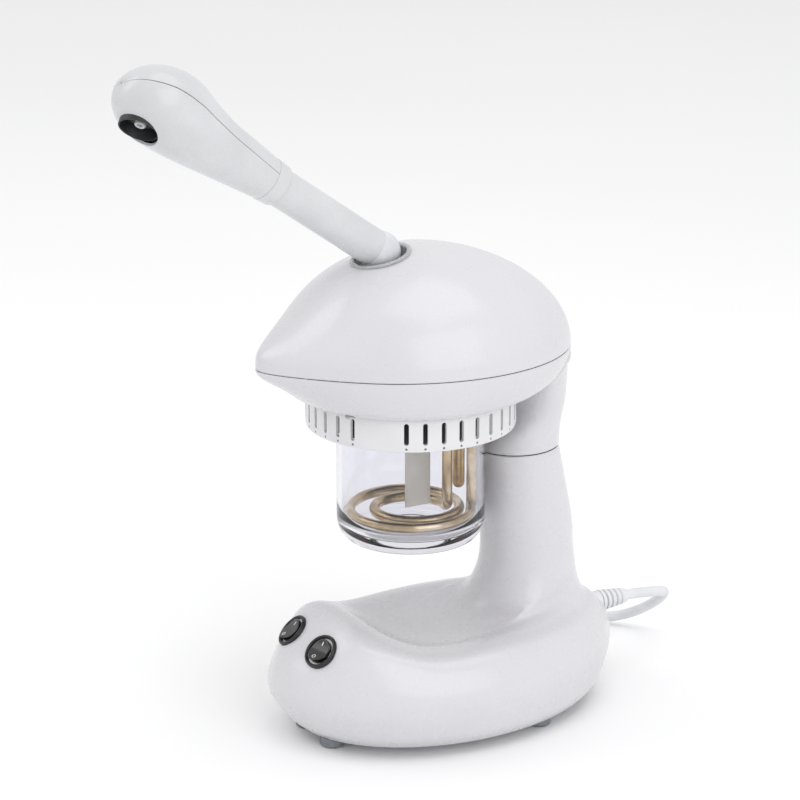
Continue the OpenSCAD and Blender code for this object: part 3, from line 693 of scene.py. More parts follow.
def bowl_under(x, y):
    """Height of the bowl's outer surface over a point."""
    r = math.hypot(x, y)
    outer = math.hypot(*head_outline(math.degrees(math.atan2(x, -y)) % 360))
    m = max(0, min(1, (outer - r) / max(1, outer - BOWL_R)))
    return SEAM_Z - SEAM_GAP - (SEAM_Z - SEAM_GAP - BOWL_Z) * math.sin(math.acos(1 - m))


def within_head(x, y):
    """A point drawn back onto the head's outline where it would stand outside it."""
    q = math.hypot(x / HEAD_HALF_W, (y - HEAD_BACK) / HEAD_HALF_D)
    return (x / q, HEAD_BACK + (y - HEAD_BACK) / q) if q > 1 else (x, y)


# ---------- sizes and colours that a user would change ----------
class SteamerSizes(bpy.types.PropertyGroup):
    seam_groove: bpy.props.FloatProperty(
        name="Seam groove", description="Depth of the groove where two shells meet, in millimetres",
        default=0.6, min=0.2, max=1.2)
    slot_width: bpy.props.FloatProperty(
        name="Slot width", description="Width of one slot of the vent ring, in millimetres",
        default=3.0, min=2.0, max=4.0)
    slot_places: bpy.props.IntProperty(
        name="Slot places", description="Places for slots round the vent ring",
        default=36, min=12, max=72)
    relief_ribs: bpy.props.IntProperty(
        name="Relief ribs", description="Ribs on the lead's strain relief",
        default=5, min=3, max=8)


class SteamerColours(bpy.types.PropertyGroup):
    shell: bpy.props.StringProperty(
        name="Shell", description="Colour of the pearl shells, as sRGB hex", default="D1D0D3")
    shell_shade: bpy.props.StringProperty(
        name="Shell shade", description="Darker cloud in the pearl shells, as sRGB hex", default="CAC9CD")


def sizes():
    return bpy.context.scene.steamer_sizes


# ---------- stage ----------
class STEAMER_OT_stage(bpy.types.Operator):
    """Camera, pale floor and soft studio light"""
    bl_idname = "steamer.stage"
    bl_label = "Stage"

    def execute(self, context):
        azimuth, elevation, distance, aside, above = 61.0, 17.0, 1566.0, -6.75, 12.6
        right = Vector((cos_d(azimuth), sin_d(azimuth), 0))
        level = Vector((sin_d(azimuth), -cos_d(azimuth), 0))
        back = level * cos_d(elevation) + Vector((0, 0, sin_d(elevation)))
        up = back.cross(right)
        eye = Vector((0, ORIGIN_Y, 200)) + distance * back + aside * right + above * up
        data = bpy.data.cameras.new("camera")
        data.sensor_width = 36
        data.lens = 112.4
        data.clip_end = 100
        camera = new_object("camera", data)
        camera.matrix_world = Matrix((right, up, back)).transposed().to_4x4()
        camera.location = eye * MM
        context.scene.camera = camera

        half = 9000
        corners = [(-half, -half, 0), (half, -half, 0), (half, half, 0), (-half, half, 0)]
        floor = mesh_piece("floor", corners, [(0, 1, 2, 3)], outward=False)
        floor.data.materials.append(studio_floor())

        # Softboxes: name, place, size and power; each looks at the middle of the object.
        target = Vector((0, 0, 0.22))
        for name, place, size, power in (
                ("key softbox", (-1.2, -1.6, 1.9), 1.4, 8),
                ("fill softbox", (2.3, 0.1, 1.2), 2.0, 16),
                ("top softbox", (0.5, 0.3, 2.4), 1.8, 12)):
            light = bpy.data.lights.new(name, "AREA")
            light.shape = "SQUARE"
            light.size = size
            light.energy = power
            lamp = new_object(name, light)
            lamp.location = place
            lamp.rotation_mode = "QUATERNION"
            lamp.rotation_quaternion = (target - Vector(place)).to_track_quat("-Z", "Y")

        world = bpy.data.worlds.new("studio")
        context.scene.world = world
        world.use_nodes = True
        tree = world.node_tree
        tree.nodes.clear()
        sky = add(tree, "ShaderNodeBackground", {"Color": colour("F7F7F8"), "Strength": 0.95})
        out = add(tree, "ShaderNodeOutputWorld")
        tree.links.new(sky.outputs["Background"], out.inputs["Surface"])
        context.scene.view_settings.view_transform = "Standard"
        return {"FINISHED"}


# ---------- mains lead ----------
# The lead from the strain relief to the coil, and from the coil to the plug, in millimetres.
LEAD_ROUTE = [(0, 140, 51), (0, 168, 51), (0, 182, 50), (-2, 193, 48), (-8, 203, 44), (-18, 210, 37),
              (-31, 213.5, 27), (-46, 210.5, 16), (-60, 202.5, 8), (-74, 190.5, 4), (-86, 180.3, 3.5),
              (-100, 175, 3.5)]
TAIL_ROUTE = [(-142, 133, 17.5), (-143, 124, 17), (-143, 112, 13), (-143, 100, 10), (-143, 90, 9)]
PLUG_PLACE = Matrix.Translation((-143, 90, 9)) @ Matrix.Rotation(math.radians(90), 4, "X")
RELIEF_START = BASE_REAR - 14
RELIEF_Z = 51


def coil_turns():
    """The wound turns: each entry is a radius and a height, joined by short easy ramps."""
    outer, inner = 6 * LEAD_D, 5 * LEAD_D
    low, step = LEAD_D / 2, LEAD_D
    turns = [(outer, low), (inner, low), (inner, low + step), (outer, low + step), (outer, low + 2 * step)]
    points = []
    per_turn, quarter = 48, 12
    for i in range(len(turns) * per_turn + quarter + 1):
        turn, part = divmod(i, per_turn)
        now = turns[min(turn, len(turns) - 1)]
        before = turns[max(min(turn, len(turns)) - 1, 0)]
        ease = smooth(part / 10) if 0 < turn < len(turns) else 1
        r, z = mix(before[0], now[0], ease), mix(before[1], now[1], ease)
        a = math.radians(90 + 360 * i / per_turn)
        points.append((COIL_CENTRE[0] + r * math.cos(a), COIL_CENTRE[1] + r * math.sin(a), z))
    return points


class STEAMER_OT_mains_lead(bpy.types.Operator):
    """The mains lead in its coil, with its tie, plug, pins and strain relief"""
    bl_idname = "steamer.mains_lead"
    bl_label = "Mains lead"

    def execute(self, context):
        start = [tuple(p) for p in spline(LEAD_ROUTE, 3)]
        start = [(x, y, max(z, LEAD_D / 2)) for x, y, z in start]
        tail = [tuple(p) for p in spline(TAIL_ROUTE, 3)]
        path = start[:-1] + coil_turns() + tail[1:]
        curve = bpy.data.curves.new("mains_lead", "CURVE")
        curve.dimensions = "3D"
        curve.bevel_depth = LEAD_D / 2 * MM
        curve.bevel_resolution = 5
        curve.use_fill_caps = True
        line = curve.splines.new("POLY")
        line.points.add(len(path) - 1)
        for point, p in zip(line.points, path):
            point.co = (p[0] * MM, (p[1] + ORIGIN_Y) * MM, p[2] * MM, 1)
        lead = new_object("mains_lead", curve)
        dress(lead, lead_pvc(), "stand", "cord_grey", "power_cord", "cord_coil")

        tie = self.tie()
        plug = self.plug()
        pins = self.pins()
        self.relief()
        return {"FINISHED"}

    def tie(self):
        """A flat strap round the coil's turns, with a little buckle."""
        turn = math.radians(-45)
        out = Vector((math.cos(turn), math.sin(turn), 0))
        middle = Vector((COIL_CENTRE[0], COIL_CENTRE[1], 0)) + 38.5 * out
        half, high, wall = LEAD_D + 0.9, 3 * LEAD_D + 0.4, 0.8
        outline = rounded([(-half, 0.1, 2), (half, 0.1, 2), (half, high, 3), (-half, high, 3)], 5)
        rows = []
        for level in (0, wall):
            for along in (-4, 4):
                ring = []
                for u, z in outline:
                    inner = 1 - level / half
                    ring.append(middle + out * u * inner
                                + Vector((-out.y, out.x, 0)) * along
                                + Vector((0, 0, 0.1 + (z - 0.1) if not level else
                                          min(max(z, 0.1 + wall), high - wall))))
                rows.append(ring)
        count = len(outline)
        points = rows[0] + rows[1] + rows[3] + rows[2]
        faces = grid_faces(4, count) + [(3 * count + j, 3 * count + (j + 1) % count, (j + 1) % count, j)
                                        for j in range(count)]
        strap = mesh_piece("strap", points, faces)
        place = Matrix.Translation(middle + out * (half - 0.6) + Vector((0, 0, 12))) @ Matrix.Rotation(
            turn, 4, "Z")
        buckle = block("buckle", (2.0, 9, 6), place, bevel=0.5)
        both = joined("cord_strap", [strap, buckle])
        return dress(both, black_nylon(), "stand", "tie_black", "cord_tie")

    def plug(self):
        """A flat two-pin plug: tapered sleeve, waisted body and finger ribs."""
        count = 64
        sections = [(0, 4.2, 4.2), (3, 4.5, 4.5), (10, 5.6, 5.6), (12.5, 8, 6.5), (14, 14.5, 7.6),
                    (17, 16.6, 8), (24, 15.6, 7.6), (31, 16.4, 7.9), (37, 16.6, 7.9), (38, 15.8, 7.2)]
        rows = []
        for s in spline(sections, 4):
            ring = []
            for j in range(count):
                a = math.tau * j / count
                power = 2 / mix(2.0, 3.6, smooth((s[0] - 10) / 6))
                c, d = math.cos(a), math.sin(a)
                ring.append(PLUG_PLACE @ Vector((s[1] * math.copysign(abs(c)**power, c),
                                                 s[2] * math.copysign(abs(d)**power, d), s[0])))
            rows.append(ring)
        points = [p for r in rows for p in r]
        faces = grid_faces(len(rows), count) + end_faces(len(rows), count)
        body = mesh_piece("body", points, faces)
        ribs = [block("rib", (20, 0.5, 0.9),
                      PLUG_PLACE @ Matrix.Translation((0, side * 7.65, 21 + 2.4 * i)), 0.2, 2)
                for side in (-1, 1) for i in range(4)]
        both = joined("mains_plug", [body] + ribs)
        return dress(both, lead_pvc(), "stand", "cord_grey", "power_plug")

    def pins(self):
        """Two round pins with sleeved roots and rounded ends."""
        profile = rounded([(0, 37.4), (2.0, 37.4), (2.0, 57, 1.6), (0, 57)], 5)
        pins = [lathe("pin", profile, PLUG_PLACE @ Matrix.Translation((x, 0, 0)), 32) for x in (-9.5, 9.5)]
        return dress(joined("mains_pins", pins), turned_brass(), "stand", "terminal_brass", "plug_pins")

    def relief(self):
        """A tapered sleeve with raised rings, open slits between them."""
        place = Matrix.Translation((0, RELIEF_START, RELIEF_Z)) @ Matrix.Rotation(math.radians(-90), 4, "X")
        ribs = sizes().relief_ribs
        start, end = 15.0, 35.0
        profile = [(3.55, 0), (9.8, 0), (9.8, 2.2), (6.9, 2.4), (6.9, start - 0.6)]
        step = (end - start) / ribs
        for i in range(ribs):
            z = start + i * step
            r = 7.3 - 0.42 * i
            profile += rounded([(4.7, z - 0.5), (r, z, 0.4), (r - 0.25, z + step * 0.62, 0.4),
                                (4.7, z + step * 0.66)], 3)
        profile += [(4.7, end + 0.4), (4.3, end + 1), (3.55, end + 1)]
        sleeve = lathe("strain_relief_sleeve", profile, place, 64, looped=True)
        return dress(sleeve, lead_pvc(), "stand", "cord_grey", "cord_strain_relief")


# ---------- base and column ----------
class STEAMER_OT_base(bpy.types.Operator):
    """The shell of base and column, and its rubber feet"""
    bl_idname = "steamer.base"
    bl_label = "Base and column"

    def execute(self, context):
        rows = [[base_point(k, a) for a in ROUND] for k in spline(BASE_KEYS, 10)]
        rows = with_seam(rows, Vector((0, COLUMN_BACK, COLUMN_TOP)), at_top=True)
        pearl_shell("base_and_column", rows, SHELL_WALL, "base_shell")

        foot = rounded([(0, 0), (7.2, 0, 1.2), (8, 1.5, 0.5), (7.6, FOOT_H - 0.3, 0.6), (4.5, FOOT_H - 0.3),
                        (4.5, FOOT_H + 0.6), (0, FOOT_H + 0.6)], 4)
        feet = [lathe("foot", foot, Matrix.Translation((side * x, y, 0)), 64)
                for x, y in ((17, -66), (53, 65)) for side in (1, -1)]
        dress(joined("feet", feet), foot_rubber(), "stand", "foot_rubber", "rubber_feet")
        return {"FINISHED"}


# ---------- switches ----------
ROCKER_R = 7.9
ROCKER_FOOT = -3.5              # how far the rocker goes into the bezel


class STEAMER_OT_switches(bpy.types.Operator):
    """Two round rocker switches in bezels"""
    bl_idname = "steamer.switches"
    bl_label = "Switches"

    def execute(self, context):
        for side, name in ((-1, "left"), (1, "right")):
            place = on_panel(side)
            bezel = lathe("bezel", rounded([
                (9.3, -8), (9.3, 1.6, 0.4), (10.2, 2.6, 0.7), (11.3, 2.0, 0.9), (11.5, -0.6), (9.8, -0.6),
                (9.8, -12), (0, -12), (0, -8)], 4), place, 96)
            dress(bezel, black_nylon(), "stand", "switch_black", f"{name}_switch_body")
            bezel.name = f"{name}_bezel"
            rocker = self.rocker(place)
            rocker.name = f"{name}_rocker_button"
            dress(rocker, gloss_black(), f"{name}_rocker", "rocker_black", f"{name}_rocker")
            marks = self.marks(place)
            marks.name = f"{name}_rocker_marks"
            dress(marks, print_ink(), f"{name}_rocker", "rocker_black")
        return {"FINISHED"}

    def rocker(self, place):
        """A round rocker with a hollowed V for a face."""
        count, rings = 72, 14
        top = []
        for i in range(rings + 1):
            r = ROCKER_R * math.sin(math.pi / 2 * i / rings)
            ring = []
            for j in range(count):
                a = math.tau * j / count
                x, y = r * math.cos(a), r * math.sin(a)
                x = max(0.5 - ROCKER_R, min(ROCKER_R - 0.5, x))
                edge = max(0, r - ROCKER_R + 0.9)
                ring.append(Vector((x, y, rocker_height(y) - edge * edge * 0.7)))
            top.append(ring)
        under = [[Vector((p.x, p.y, ROCKER_FOOT)) for p in top[-1]]]
        rows = top[1:] + under
        points = [place @ p for row in rows for p in row]
        points.append(place @ Vector((0, 0, rocker_height(0))))
        points.append(place @ Vector((0, 0, ROCKER_FOOT)))
        faces = grid_faces(len(rows), count)
        centre, floor = len(points) - 2, len(points) - 1
        last = (len(rows) - 1) * count
        faces += [(centre, j, (j + 1) % count) for j in range(count)]
        faces += [(floor, last + (j + 1) % count, last + j) for j in range(count)]
        return mesh_piece("rocker", points, faces)

    def marks(self, place):
        """The usual bar and ring, printed at the two ends of the rocker."""
        bar = block("bar", (0.7, 2.6, 0.16),
                    place @ Matrix.Translation((0, 4.6, rocker_height(4.6) + 0.05)) @ Matrix.Rotation(
                        rocker_slope(4.6), 4, "X"), 0.05, 1)
        ring = lathe("ring", [(0.95, -0.03), (1.35, -0.03), (1.35, 0.12), (0.95, 0.12)],
                     place @ Matrix.Translation((0, -5.0, rocker_height(-5.0) + 0.03)) @ Matrix.Rotation(
                         rocker_slope(-5.0), 4, "X"), 32, looped=True)
        return joined("marks", [bar, ring])


def rocker_height(y):
    """Height of the rocker's face: its lower end stands proud and its middle is hollowed."""
    return mix(3.4, 5.0, (8 - y) / 16) - 1.7 * (1 - (abs(y) / 8)**1.6)


def rocker_slope(y):
    step = 0.2
    return math.atan2(rocker_height(y + step) - rocker_height(y - step), 2 * step)


# ---------- head ----------
class STEAMER_OT_head(bpy.types.Operator):
    """Dome, bowl and the neck that carries them"""
    bl_idname = "steamer.head"
    bl_label = "Head"

    def execute(self, context):
        middle = Vector((0, HEAD_BACK, SEAM_Z))

        rows = [[dome_point(a, t) for a in ROUND] for t in [i / 72 for i in range(73)]]
        rows = with_seam(rows, middle, at_top=False)
        rim_depth = -3.0 * SOCKET_AXIS
        rows.append([p + rim_depth for p in rows[-1]])
        pearl_shell("dome", rows, SHELL_WALL - 0.4, "head_upper_shell")

        rows = [[bowl_point(a, 1 - t) for a in ROUND] for t in [i / 40 for i in range(41)]]
        pearl_shell("bowl", with_seam(rows, middle, at_top=True), SHELL_WALL, "head_lower_shell")

        rows = with_seam(self.neck_rows(), Vector((0, COLUMN_BACK, COLUMN_TOP + 0.6)), at_top=False)
        pearl_shell("neck", rows, NECK_WALL, "neck_cover")
        return {"FINISHED"}

    def neck_rows(self):
        """The neck rises from the column's outline and flares onto the bowl."""
        front = BOWL_R + 1.5
        back = HEAD_BACK + HEAD_HALF_D
        keys = [
            [COLUMN_F, COLUMN_BACK, COLUMN_R, COLUMN_HALF_W, COLUMN_TOP + 0.6],
            [COLUMN_F + 6, COLUMN_BACK + 2, COLUMN_R + 0.5, COLUMN_HALF_W, COLUMN_TOP + 13],
            [front - 0.5, COLUMN_BACK + 8, COLUMN_R + 1, COLUMN_HALF_W + 2, RING_Z - 2],
            [front, COLUMN_BACK + 7, COLUMN_R + 1.5, COLUMN_HALF_W + 6, BOWL_Z - 11]]
        flared = [
            [front, COLUMN_BACK + 6, COLUMN_R + 0.5, COLUMN_HALF_W + 11, -4.5],
            [front, COLUMN_BACK + 4, back + 0.3, 43, -0.9],
            [front, COLUMN_BACK, back - 2, 51, 1.2]]
        columns = []
        for a in ROUND:
            line = [(*egg(*k[:4], a), k[4]) for k in keys]
            for k in flared:
                x, y = within_head(*egg(*k[:4], a))
                line.append((x, y, min(SEAM_Z - 1.4, bowl_under(x, y)) + k[4]))
            columns.append(spline(line, 8))
        return [[Vector(p) for p in row] for row in zip(*columns)]


# ---------- vent ring ----------
SLOT_SHIFT = 43.5
CLOSED_OF_TWELVE = 2


def ring_slot_tree(material):
    """Geometry Nodes: copies of one cutter round the ring, cut out of it, two of each twelve
    places staying closed."""
    tree = bpy.data.node_groups.new("Vent ring slots", "GeometryNodeTree")
    face = tree.interface
    face.new_socket("Geometry", in_out="INPUT", socket_type="NodeSocketGeometry")
    cutter = face.new_socket("Cutter", in_out="INPUT", socket_type="NodeSocketObject")
    places = face.new_socket("Places", in_out="INPUT", socket_type="NodeSocketInt")
    turn = face.new_socket("First turn", in_out="INPUT", socket_type="NodeSocketFloat")
    face.new_socket("Geometry", in_out="OUTPUT", socket_type="NodeSocketGeometry")
    enter = add(tree, "NodeGroupInput")
    leave = add(tree, "NodeGroupOutput")
    points = add(tree, "GeometryNodePoints", {"Count": enter.outputs["Places"]})
    index = add(tree, "GeometryNodeInputIndex").outputs[0]
    step = add(tree, "ShaderNodeMath", {0: math.tau, 1: enter.outputs["Places"]}, operation="DIVIDE")
    angle = add(tree, "ShaderNodeMath", {0: index, 1: step.outputs[0], 2: enter.outputs["First turn"]},
                operation="MULTIPLY_ADD")
    spin = add(tree, "ShaderNodeCombineXYZ", {"Z": angle.outputs[0]})
    rest = add(tree, "ShaderNodeMath", {0: index, 1: 12.0}, operation="MODULO")
    opened = add(tree, "ShaderNodeMath", {0: rest.outputs[0], 1: CLOSED_OF_TWELVE - 0.5},
                 operation="GREATER_THAN")
    shape = add(tree, "GeometryNodeObjectInfo", {"Object": enter.outputs["Cutter"]})
    copies = add(tree, "GeometryNodeInstanceOnPoints", {
        "Points": points.outputs[0], "Selection": opened.outputs[0],
        "Instance": shape.outputs["Geometry"], "Rotation": spin.outputs[0]})
    real = add(tree, "GeometryNodeRealizeInstances", {"Geometry": copies.outputs[0]})
    taken = add(tree, "GeometryNodeMeshBoolean", operation="DIFFERENCE", solver="EXACT")
    tree.links.new(enter.outputs["Geometry"], taken.inputs["Mesh 1"])
    tree.links.new(real.outputs[0], taken.inputs["Mesh 2"])
    whole = add(tree, "GeometryNodeRealizeInstances", {"Geometry": taken.outputs["Mesh"]})
    painted = add(tree, "GeometryNodeSetMaterial", {"Geometry": whole.outputs[0], "Material": material})
    tree.links.new(painted.outputs[0], leave.inputs[0])
    return tree, cutter.identifier, places.identifier, turn.identifier


class STEAMER_OT_vent_ring(bpy.types.Operator):
    """The slotted ring under the head"""
    bl_idname = "steamer.vent_ring"
    bl_label = "Vent ring"

    def execute(self, context):
        high = BOWL_Z - RING_Z
        centre = Matrix.Translation((0, -ORIGIN_Y, RING_Z))
        ring = lathe("slotted_ring", rounded([
            (RING_R - 2.5, 0), (RING_R - 0.2, 0, 0.5), (RING_R, 1, 0.3), (RING_R, high), (54, high),
            (54, high - 2.5), (RING_R - 2.5, high - 2.5)], 3), centre, 216, looped=True)
        cutter = self.cutter()
        tree, cutter_id, places_id, turn_id = ring_slot_tree(white_abs())
        slots = ring.modifiers.new("slots", "NODES")
        slots.node_group = tree
        slots[cutter_id] = cutter
        slots[places_id] = sizes().slot_places
        slots[turn_id] = math.radians(SLOT_SHIFT - 90 - 180 / sizes().slot_places)
        baked(ring)
        bpy.data.objects.remove(cutter)
        ring.data.transform(Matrix.Translation((0, ORIGIN_Y * MM, 0)))
        dress(ring, white_abs(), "stand", "ring_white", "vent_ring")
        return {"FINISHED"}

    def cutter(self):
        """A round-ended slot and the small drain hole under it, as one cutting tool."""
        half = sizes().slot_width / 2
        tools = []
        for low, high, r in ((4.4 + half, 18.2 - half, half), (2.1, 2.1, 0.8)):
            outline = [(r * cos_d(start + 22.5 * j), middle + r * sin_d(start + 22.5 * j))
                       for start, middle in ((0, high), (180, low)) for j in range(9)]
            points = [Vector((x, u - ORIGIN_Y, v + RING_Z))
                      for x in (RING_R - 5, RING_R + 5) for u, v in outline]
            count = len(outline)
            tools.append(mesh_piece("tool", points, grid_faces(2, count) + end_faces(2, count)))
        return joined("slot_cutter", tools)


# ---------- jar ----------
class STEAMER_OT_jar(bpy.types.Operator):
    """The glass jar and its seal"""
    bl_idname = "steamer.jar"
    bl_label = "Jar"

    def execute(self, context):
        high = JAR_TOP - JAR_Z
        inner = JAR_R - GLASS_T
        place = Matrix.Translation((0, 0, JAR_Z))
        bead = JAR_R + 1.9
        profile = rounded([
            (0, 0.8), (16, 0.8, 3), (19, 0, 3), (JAR_R - 6, 0, 2), (JAR_R, 7, 7), (JAR_R, high - 9, 1),
            (bead, high - 8, 0.6), (bead, high - 3, 0.6), (JAR_R, high - 2, 0.8), (JAR_R, high, 0.9),
            (inner, high, 0.9), (inner, JAR_FLOOR + 7, 8), (inner - 7, JAR_FLOOR, 3), (10, JAR_FLOOR, 2),
            (6.5, JAR_FLOOR + 0.3, 2), (4, JAR_FLOOR + 2.6, 2), (0, JAR_FLOOR + 3.0)], 8)
        jar = lathe("jar", profile, place, 192)
        dress(jar, borosilicate(), "jar", "jar_glass", "glass_jar")

        seal = lathe("seal", rounded([(JAR_R - 5, 0.2, 0.6), (JAR_R + 2, 0.2, 0.6), (JAR_R + 2, 2.1, 0.6),
                                      (JAR_R - 5, 2.1, 0.6)], 4),
                     Matrix.Translation((0, 0, JAR_TOP)), 128, looped=True)
        dress(seal, satin_part("Moulded silicone", "A83E33", "BC4A3E", 0.55, 0.0), "seal", "seal_rubber",
              "jar_seal")
        return {"FINISHED"}


# ---------- heater ----------
class STEAMER_OT_heater(bpy.types.Operator):
    """The heating tube and what hangs beside it in the jar"""
    bl_idname = "steamer.heater"
    bl_label = "Heater"

    def execute(self, context):
        top = BOWL_Z + 14
        legs = [(r * cos_d(LEG_TURN), r * sin_d(LEG_TURN)) for r in (HEATER_R, HEATER_INNER_R)]
        turns = []
        for i in range(4, 189):
            u = i / 192
            a = LEG_TURN - 720 * u
            r = mix(HEATER_R, HEATER_INNER_R, smooth((u - 0.3) / 0.4))
            turns.append((r * cos_d(a), r * sin_d(a), TURNS_Z))
        bend = 8
        elbows = [(legs[i][0] + dx, legs[i][1] + dy, TURNS_Z + 3.4)
                  for i, dx, dy in ((0, 0.4, -0.3), (1, -0.3, 0.3))]
        path = ([(*legs[0], top), (*legs[0], TURNS_Z + bend + 8)]
                + [tuple(p) for p in spline([(*legs[0], TURNS_Z + bend), elbows[0], turns[0]], 6)][:-1]
                + turns
                + [tuple(p) for p in spline([turns[-1], elbows[1], (*legs[1], TURNS_Z + bend)], 6)][1:]
                + [(*legs[1], TURNS_Z + bend + 8), (*legs[1], top)])
        tube = tube_along("heating_tube", path, HEATER_D / 2, 24)
        dress(tube, tinted_steel(), "stand", "heater_steel", "heater_tube")

        low, _ = box_mm("thermostat_pocket")
        r = POCKET_R
        profile = ([(0, low.z)] + [(r * sin_d(15 * i), low.z + r - r * cos_d(15 * i)) for i in range(1, 7)]
                   + [(r, BOWL_Z + 4), (7, BOWL_Z + 4), (7, BOWL_Z + 7), (r, BOWL_Z + 7), (r, BOWL_Z + 12),
                      (r - 1, BOWL_Z + 12), (r - 1, low.z + 6), (0, low.z + 5)])
        pocket = lathe("thermostat_tube", profile, Matrix.Translation(POCKET_AT), 64)
        dress(pocket, turned_brass(), "stand", "terminal_brass", "thermostat_pocket")

        low, high = box_mm("level_strip")
        size = high - low
        middle = (low + high) / 2 - Vector((0, ORIGIN_Y, 0))
        strip = block("level_plate", size, Matrix.Translation(middle), 0.5)
        # The strip's cream is lighter than the inner parts' cream plastic. This is painted light, standing
        # in for the light that reaches it through the glass jar.
        dress(strip, satin_part("Moulded cream plastic", "F2ECDC", "FBF6E8", 0.42, 0.0), "stand",
              "cream_plastic", "level_strip")
        return {"FINISHED"}


# ---------- arm ----------
def turned_to(axis, along=0.0):
    """The frame at the swivel's middle with local z along an axis in the plane x = 0."""
    tilt = math.atan2(-axis.y, axis.z)
    return (Matrix.Translation(PIVOT) @ Matrix.Rotation(tilt, 4, "X") @ Matrix.Translation((0, 0, along)))


def in_nozzle():
    """The nozzle's frame at rest, turned about the arm."""
    return turned_to(ARM_AXIS) @ Matrix.Rotation(math.radians(NOZZLE_REST), 4, "Z")


class STEAMER_OT_arm(bpy.types.Operator):
    """Socket ring and arm tube; the swivel elbow keeps the frame's own shape"""
    bl_idname = "steamer.arm"
    bl_label = "Arm"

    def execute(self, context):
        socket = turned_to(SOCKET_AXIS)
        hole = BALL_R + 3.6
        top = RING_TOP
        ring = lathe("clear_socket_ring", rounded([
            (SOCKET_R - 0.5, top - 12), (SOCKET_R - 0.5, top - 1.9), (SOCKET_R + 0.8, top - 1.9, 0.3),
            (SOCKET_R + 0.8, top - 0.3, 0.6), (SOCKET_R - 0.3, top, 0.4), (hole, top - 0.5, 0.4),
            (hole, top - 10), (10, top - 10), (10, top - 12)], 4), socket, 128, looped=True)
        dress(ring, clear_ring(), "stand", "socket_chrome", "socket_ring")

        tube = lathe("arm_sleeve", rounded([
            (ARM_R - 2, 4.2), (ARM_R - 0.3, 4.2, 0.5), (ARM_R, 5.4, 0.5), (ARM_R, ARM_LEN + 30, 0.5),
            (ARM_R - 2, ARM_LEN + 30, 0.3)], 4), turned_to(ARM_AXIS), 96, looped=True)
        dress(tube, arm_abs(), "arm", "arm_white", "arm_tube")
        return {"FINISHED"}


# ---------- nozzle ----------
NOZZLE_KEYS = [
    [9, -13.6, 0, 13.6, 13.6],
    [28, -16, 1, 15.5, 16],
    [47, -18.5, 2, 17, 18.5],
    [64, -20.5, 3, 21, 22],
    [80, -21.5, 4, 26, 25.5],
    [97, -21, 4, 24.5, 26],
    [110, -16, 3, 18, 20],
    [117, -8, 2, 9.5, 11],
    [NOZZLE_LEN - 2.2, 0.6, 1, 1.4, 0.4]]


def nozzle_point(k, a):
    c = cos_d(a)
    y = k[2] - (k[2] - k[1]) * c if c > 0 else k[2] - (k[3] - k[2]) * c
    return Vector((k[4] * sin_d(a), y, ARM_LEN + k[0]))


class STEAMER_OT_nozzle(bpy.types.Operator):
    """The turning nozzle: collar, two shells, mouth and jet"""
    bl_idname = "steamer.nozzle"
    bl_label = "Nozzle"

    def execute(self, context):
        place = in_nozzle()
        lower = self.half("nozzle_front", -89.7, 89.7, place)
        tool = lathe("tool", [(0, -14), (MOUTH_R, -14), (MOUTH_R, 10), (0, 10)], self.at_mouth(), 96)
        cut(lower, tool, 40)
        dress(lower, arm_abs(), "nozzle", "arm_white", "nozzle_lower_shell")
        upper = self.half("nozzle_back", 90.3, 269.7, place)
        dress(upper, arm_abs(), "nozzle", "arm_white", "nozzle_upper_shell")

        collar = lathe("collar", rounded([
            (ARM_R + 0.08, ARM_LEN), (ARM_R + 1.5, ARM_LEN, 0.5), (ARM_R + 2.2, ARM_LEN + 8.9, 0.5),
            (ARM_R + 0.08, ARM_LEN + 8.9)], 4), place, 96, looped=True)
        dress(collar, arm_abs(), "nozzle", "arm_white", "nozzle_collar")

        cup = lathe("mouth_cup", rounded([
            (4, -12), (MOUTH_R - 0.1, -10, 1), (MOUTH_R - 0.1, -0.2, 0.3), (MOUTH_R - 1, -0.2, 0.3),
            (MOUTH_R - 2.6, -8.2, 1.5), (4, -9.6)], 5), self.at_mouth(), 96, looped=True)
        dress(cup, black_nylon(), "nozzle", "cutout_black", "nozzle_mouth")
        jet = lathe("steam_jet", rounded([
            (1.6, -12), (3.95, -12), (3.4, -3.4, 0.4), (2.8, -2.8, 0.3), (1.7, -3.2, 0.3), (1.6, -5)], 3),
            self.at_mouth(), 48, looped=True)
        dress(jet, satin_part("Moulded jet tip", "B9BABD", "CFD0D2", 0.35, 0.0), "nozzle", "elbow_grey",
              "nozzle_jet")
        return {"FINISHED"}

    def at_mouth(self):
        return (in_nozzle() @ Matrix.Translation((0, MOUTH_DEPTH, MOUTH_S))
                @ Matrix.Rotation(math.radians(90), 4, "X"))

    def half(self, name, start, end, place):
        """One shell of the nozzle, its long edges drawn in a little to make the seam's groove."""
        columns = 72
        groove = sizes().seam_groove
        rows = []
        for k in spline(NOZZLE_KEYS, 12):
            row = [nozzle_point(k, mix(start, end, j / columns)) for j in range(columns + 1)]
            middle = Vector((0, k[2], ARM_LEN + k[0]))
            for j, near in ((0, 1), (-1, -2)):
                edge = row[j]
                reach = (middle - edge).length
                row[near] = mix(row[near], edge, 0.75)
                row[j] = edge + (middle - edge) * min(groove / max(reach, 0.1), 0.5)
            rows.append([place @ p for p in row])
        half = skin(name, rows, closed=False)
        return walled(self.outward(half, place), NOZZLE_WALL, 40)

    def outward(self, obj, place):
        """Faces away from the nozzle's own axis."""
        axis_at = place @ Vector((0, 2, ARM_LEN + 60))
        origin = Vector((axis_at.x, axis_at.y + ORIGIN_Y, axis_at.z)) * MM
        along = ARM_AXIS
        score = 0.0
        for p in obj.data.polygons:
            away = p.center - origin
            away -= along * away.dot(along)
            score += away.dot(p.normal) * p.area
        if score < 0:
            obj.data.flip_normals()
        return obj


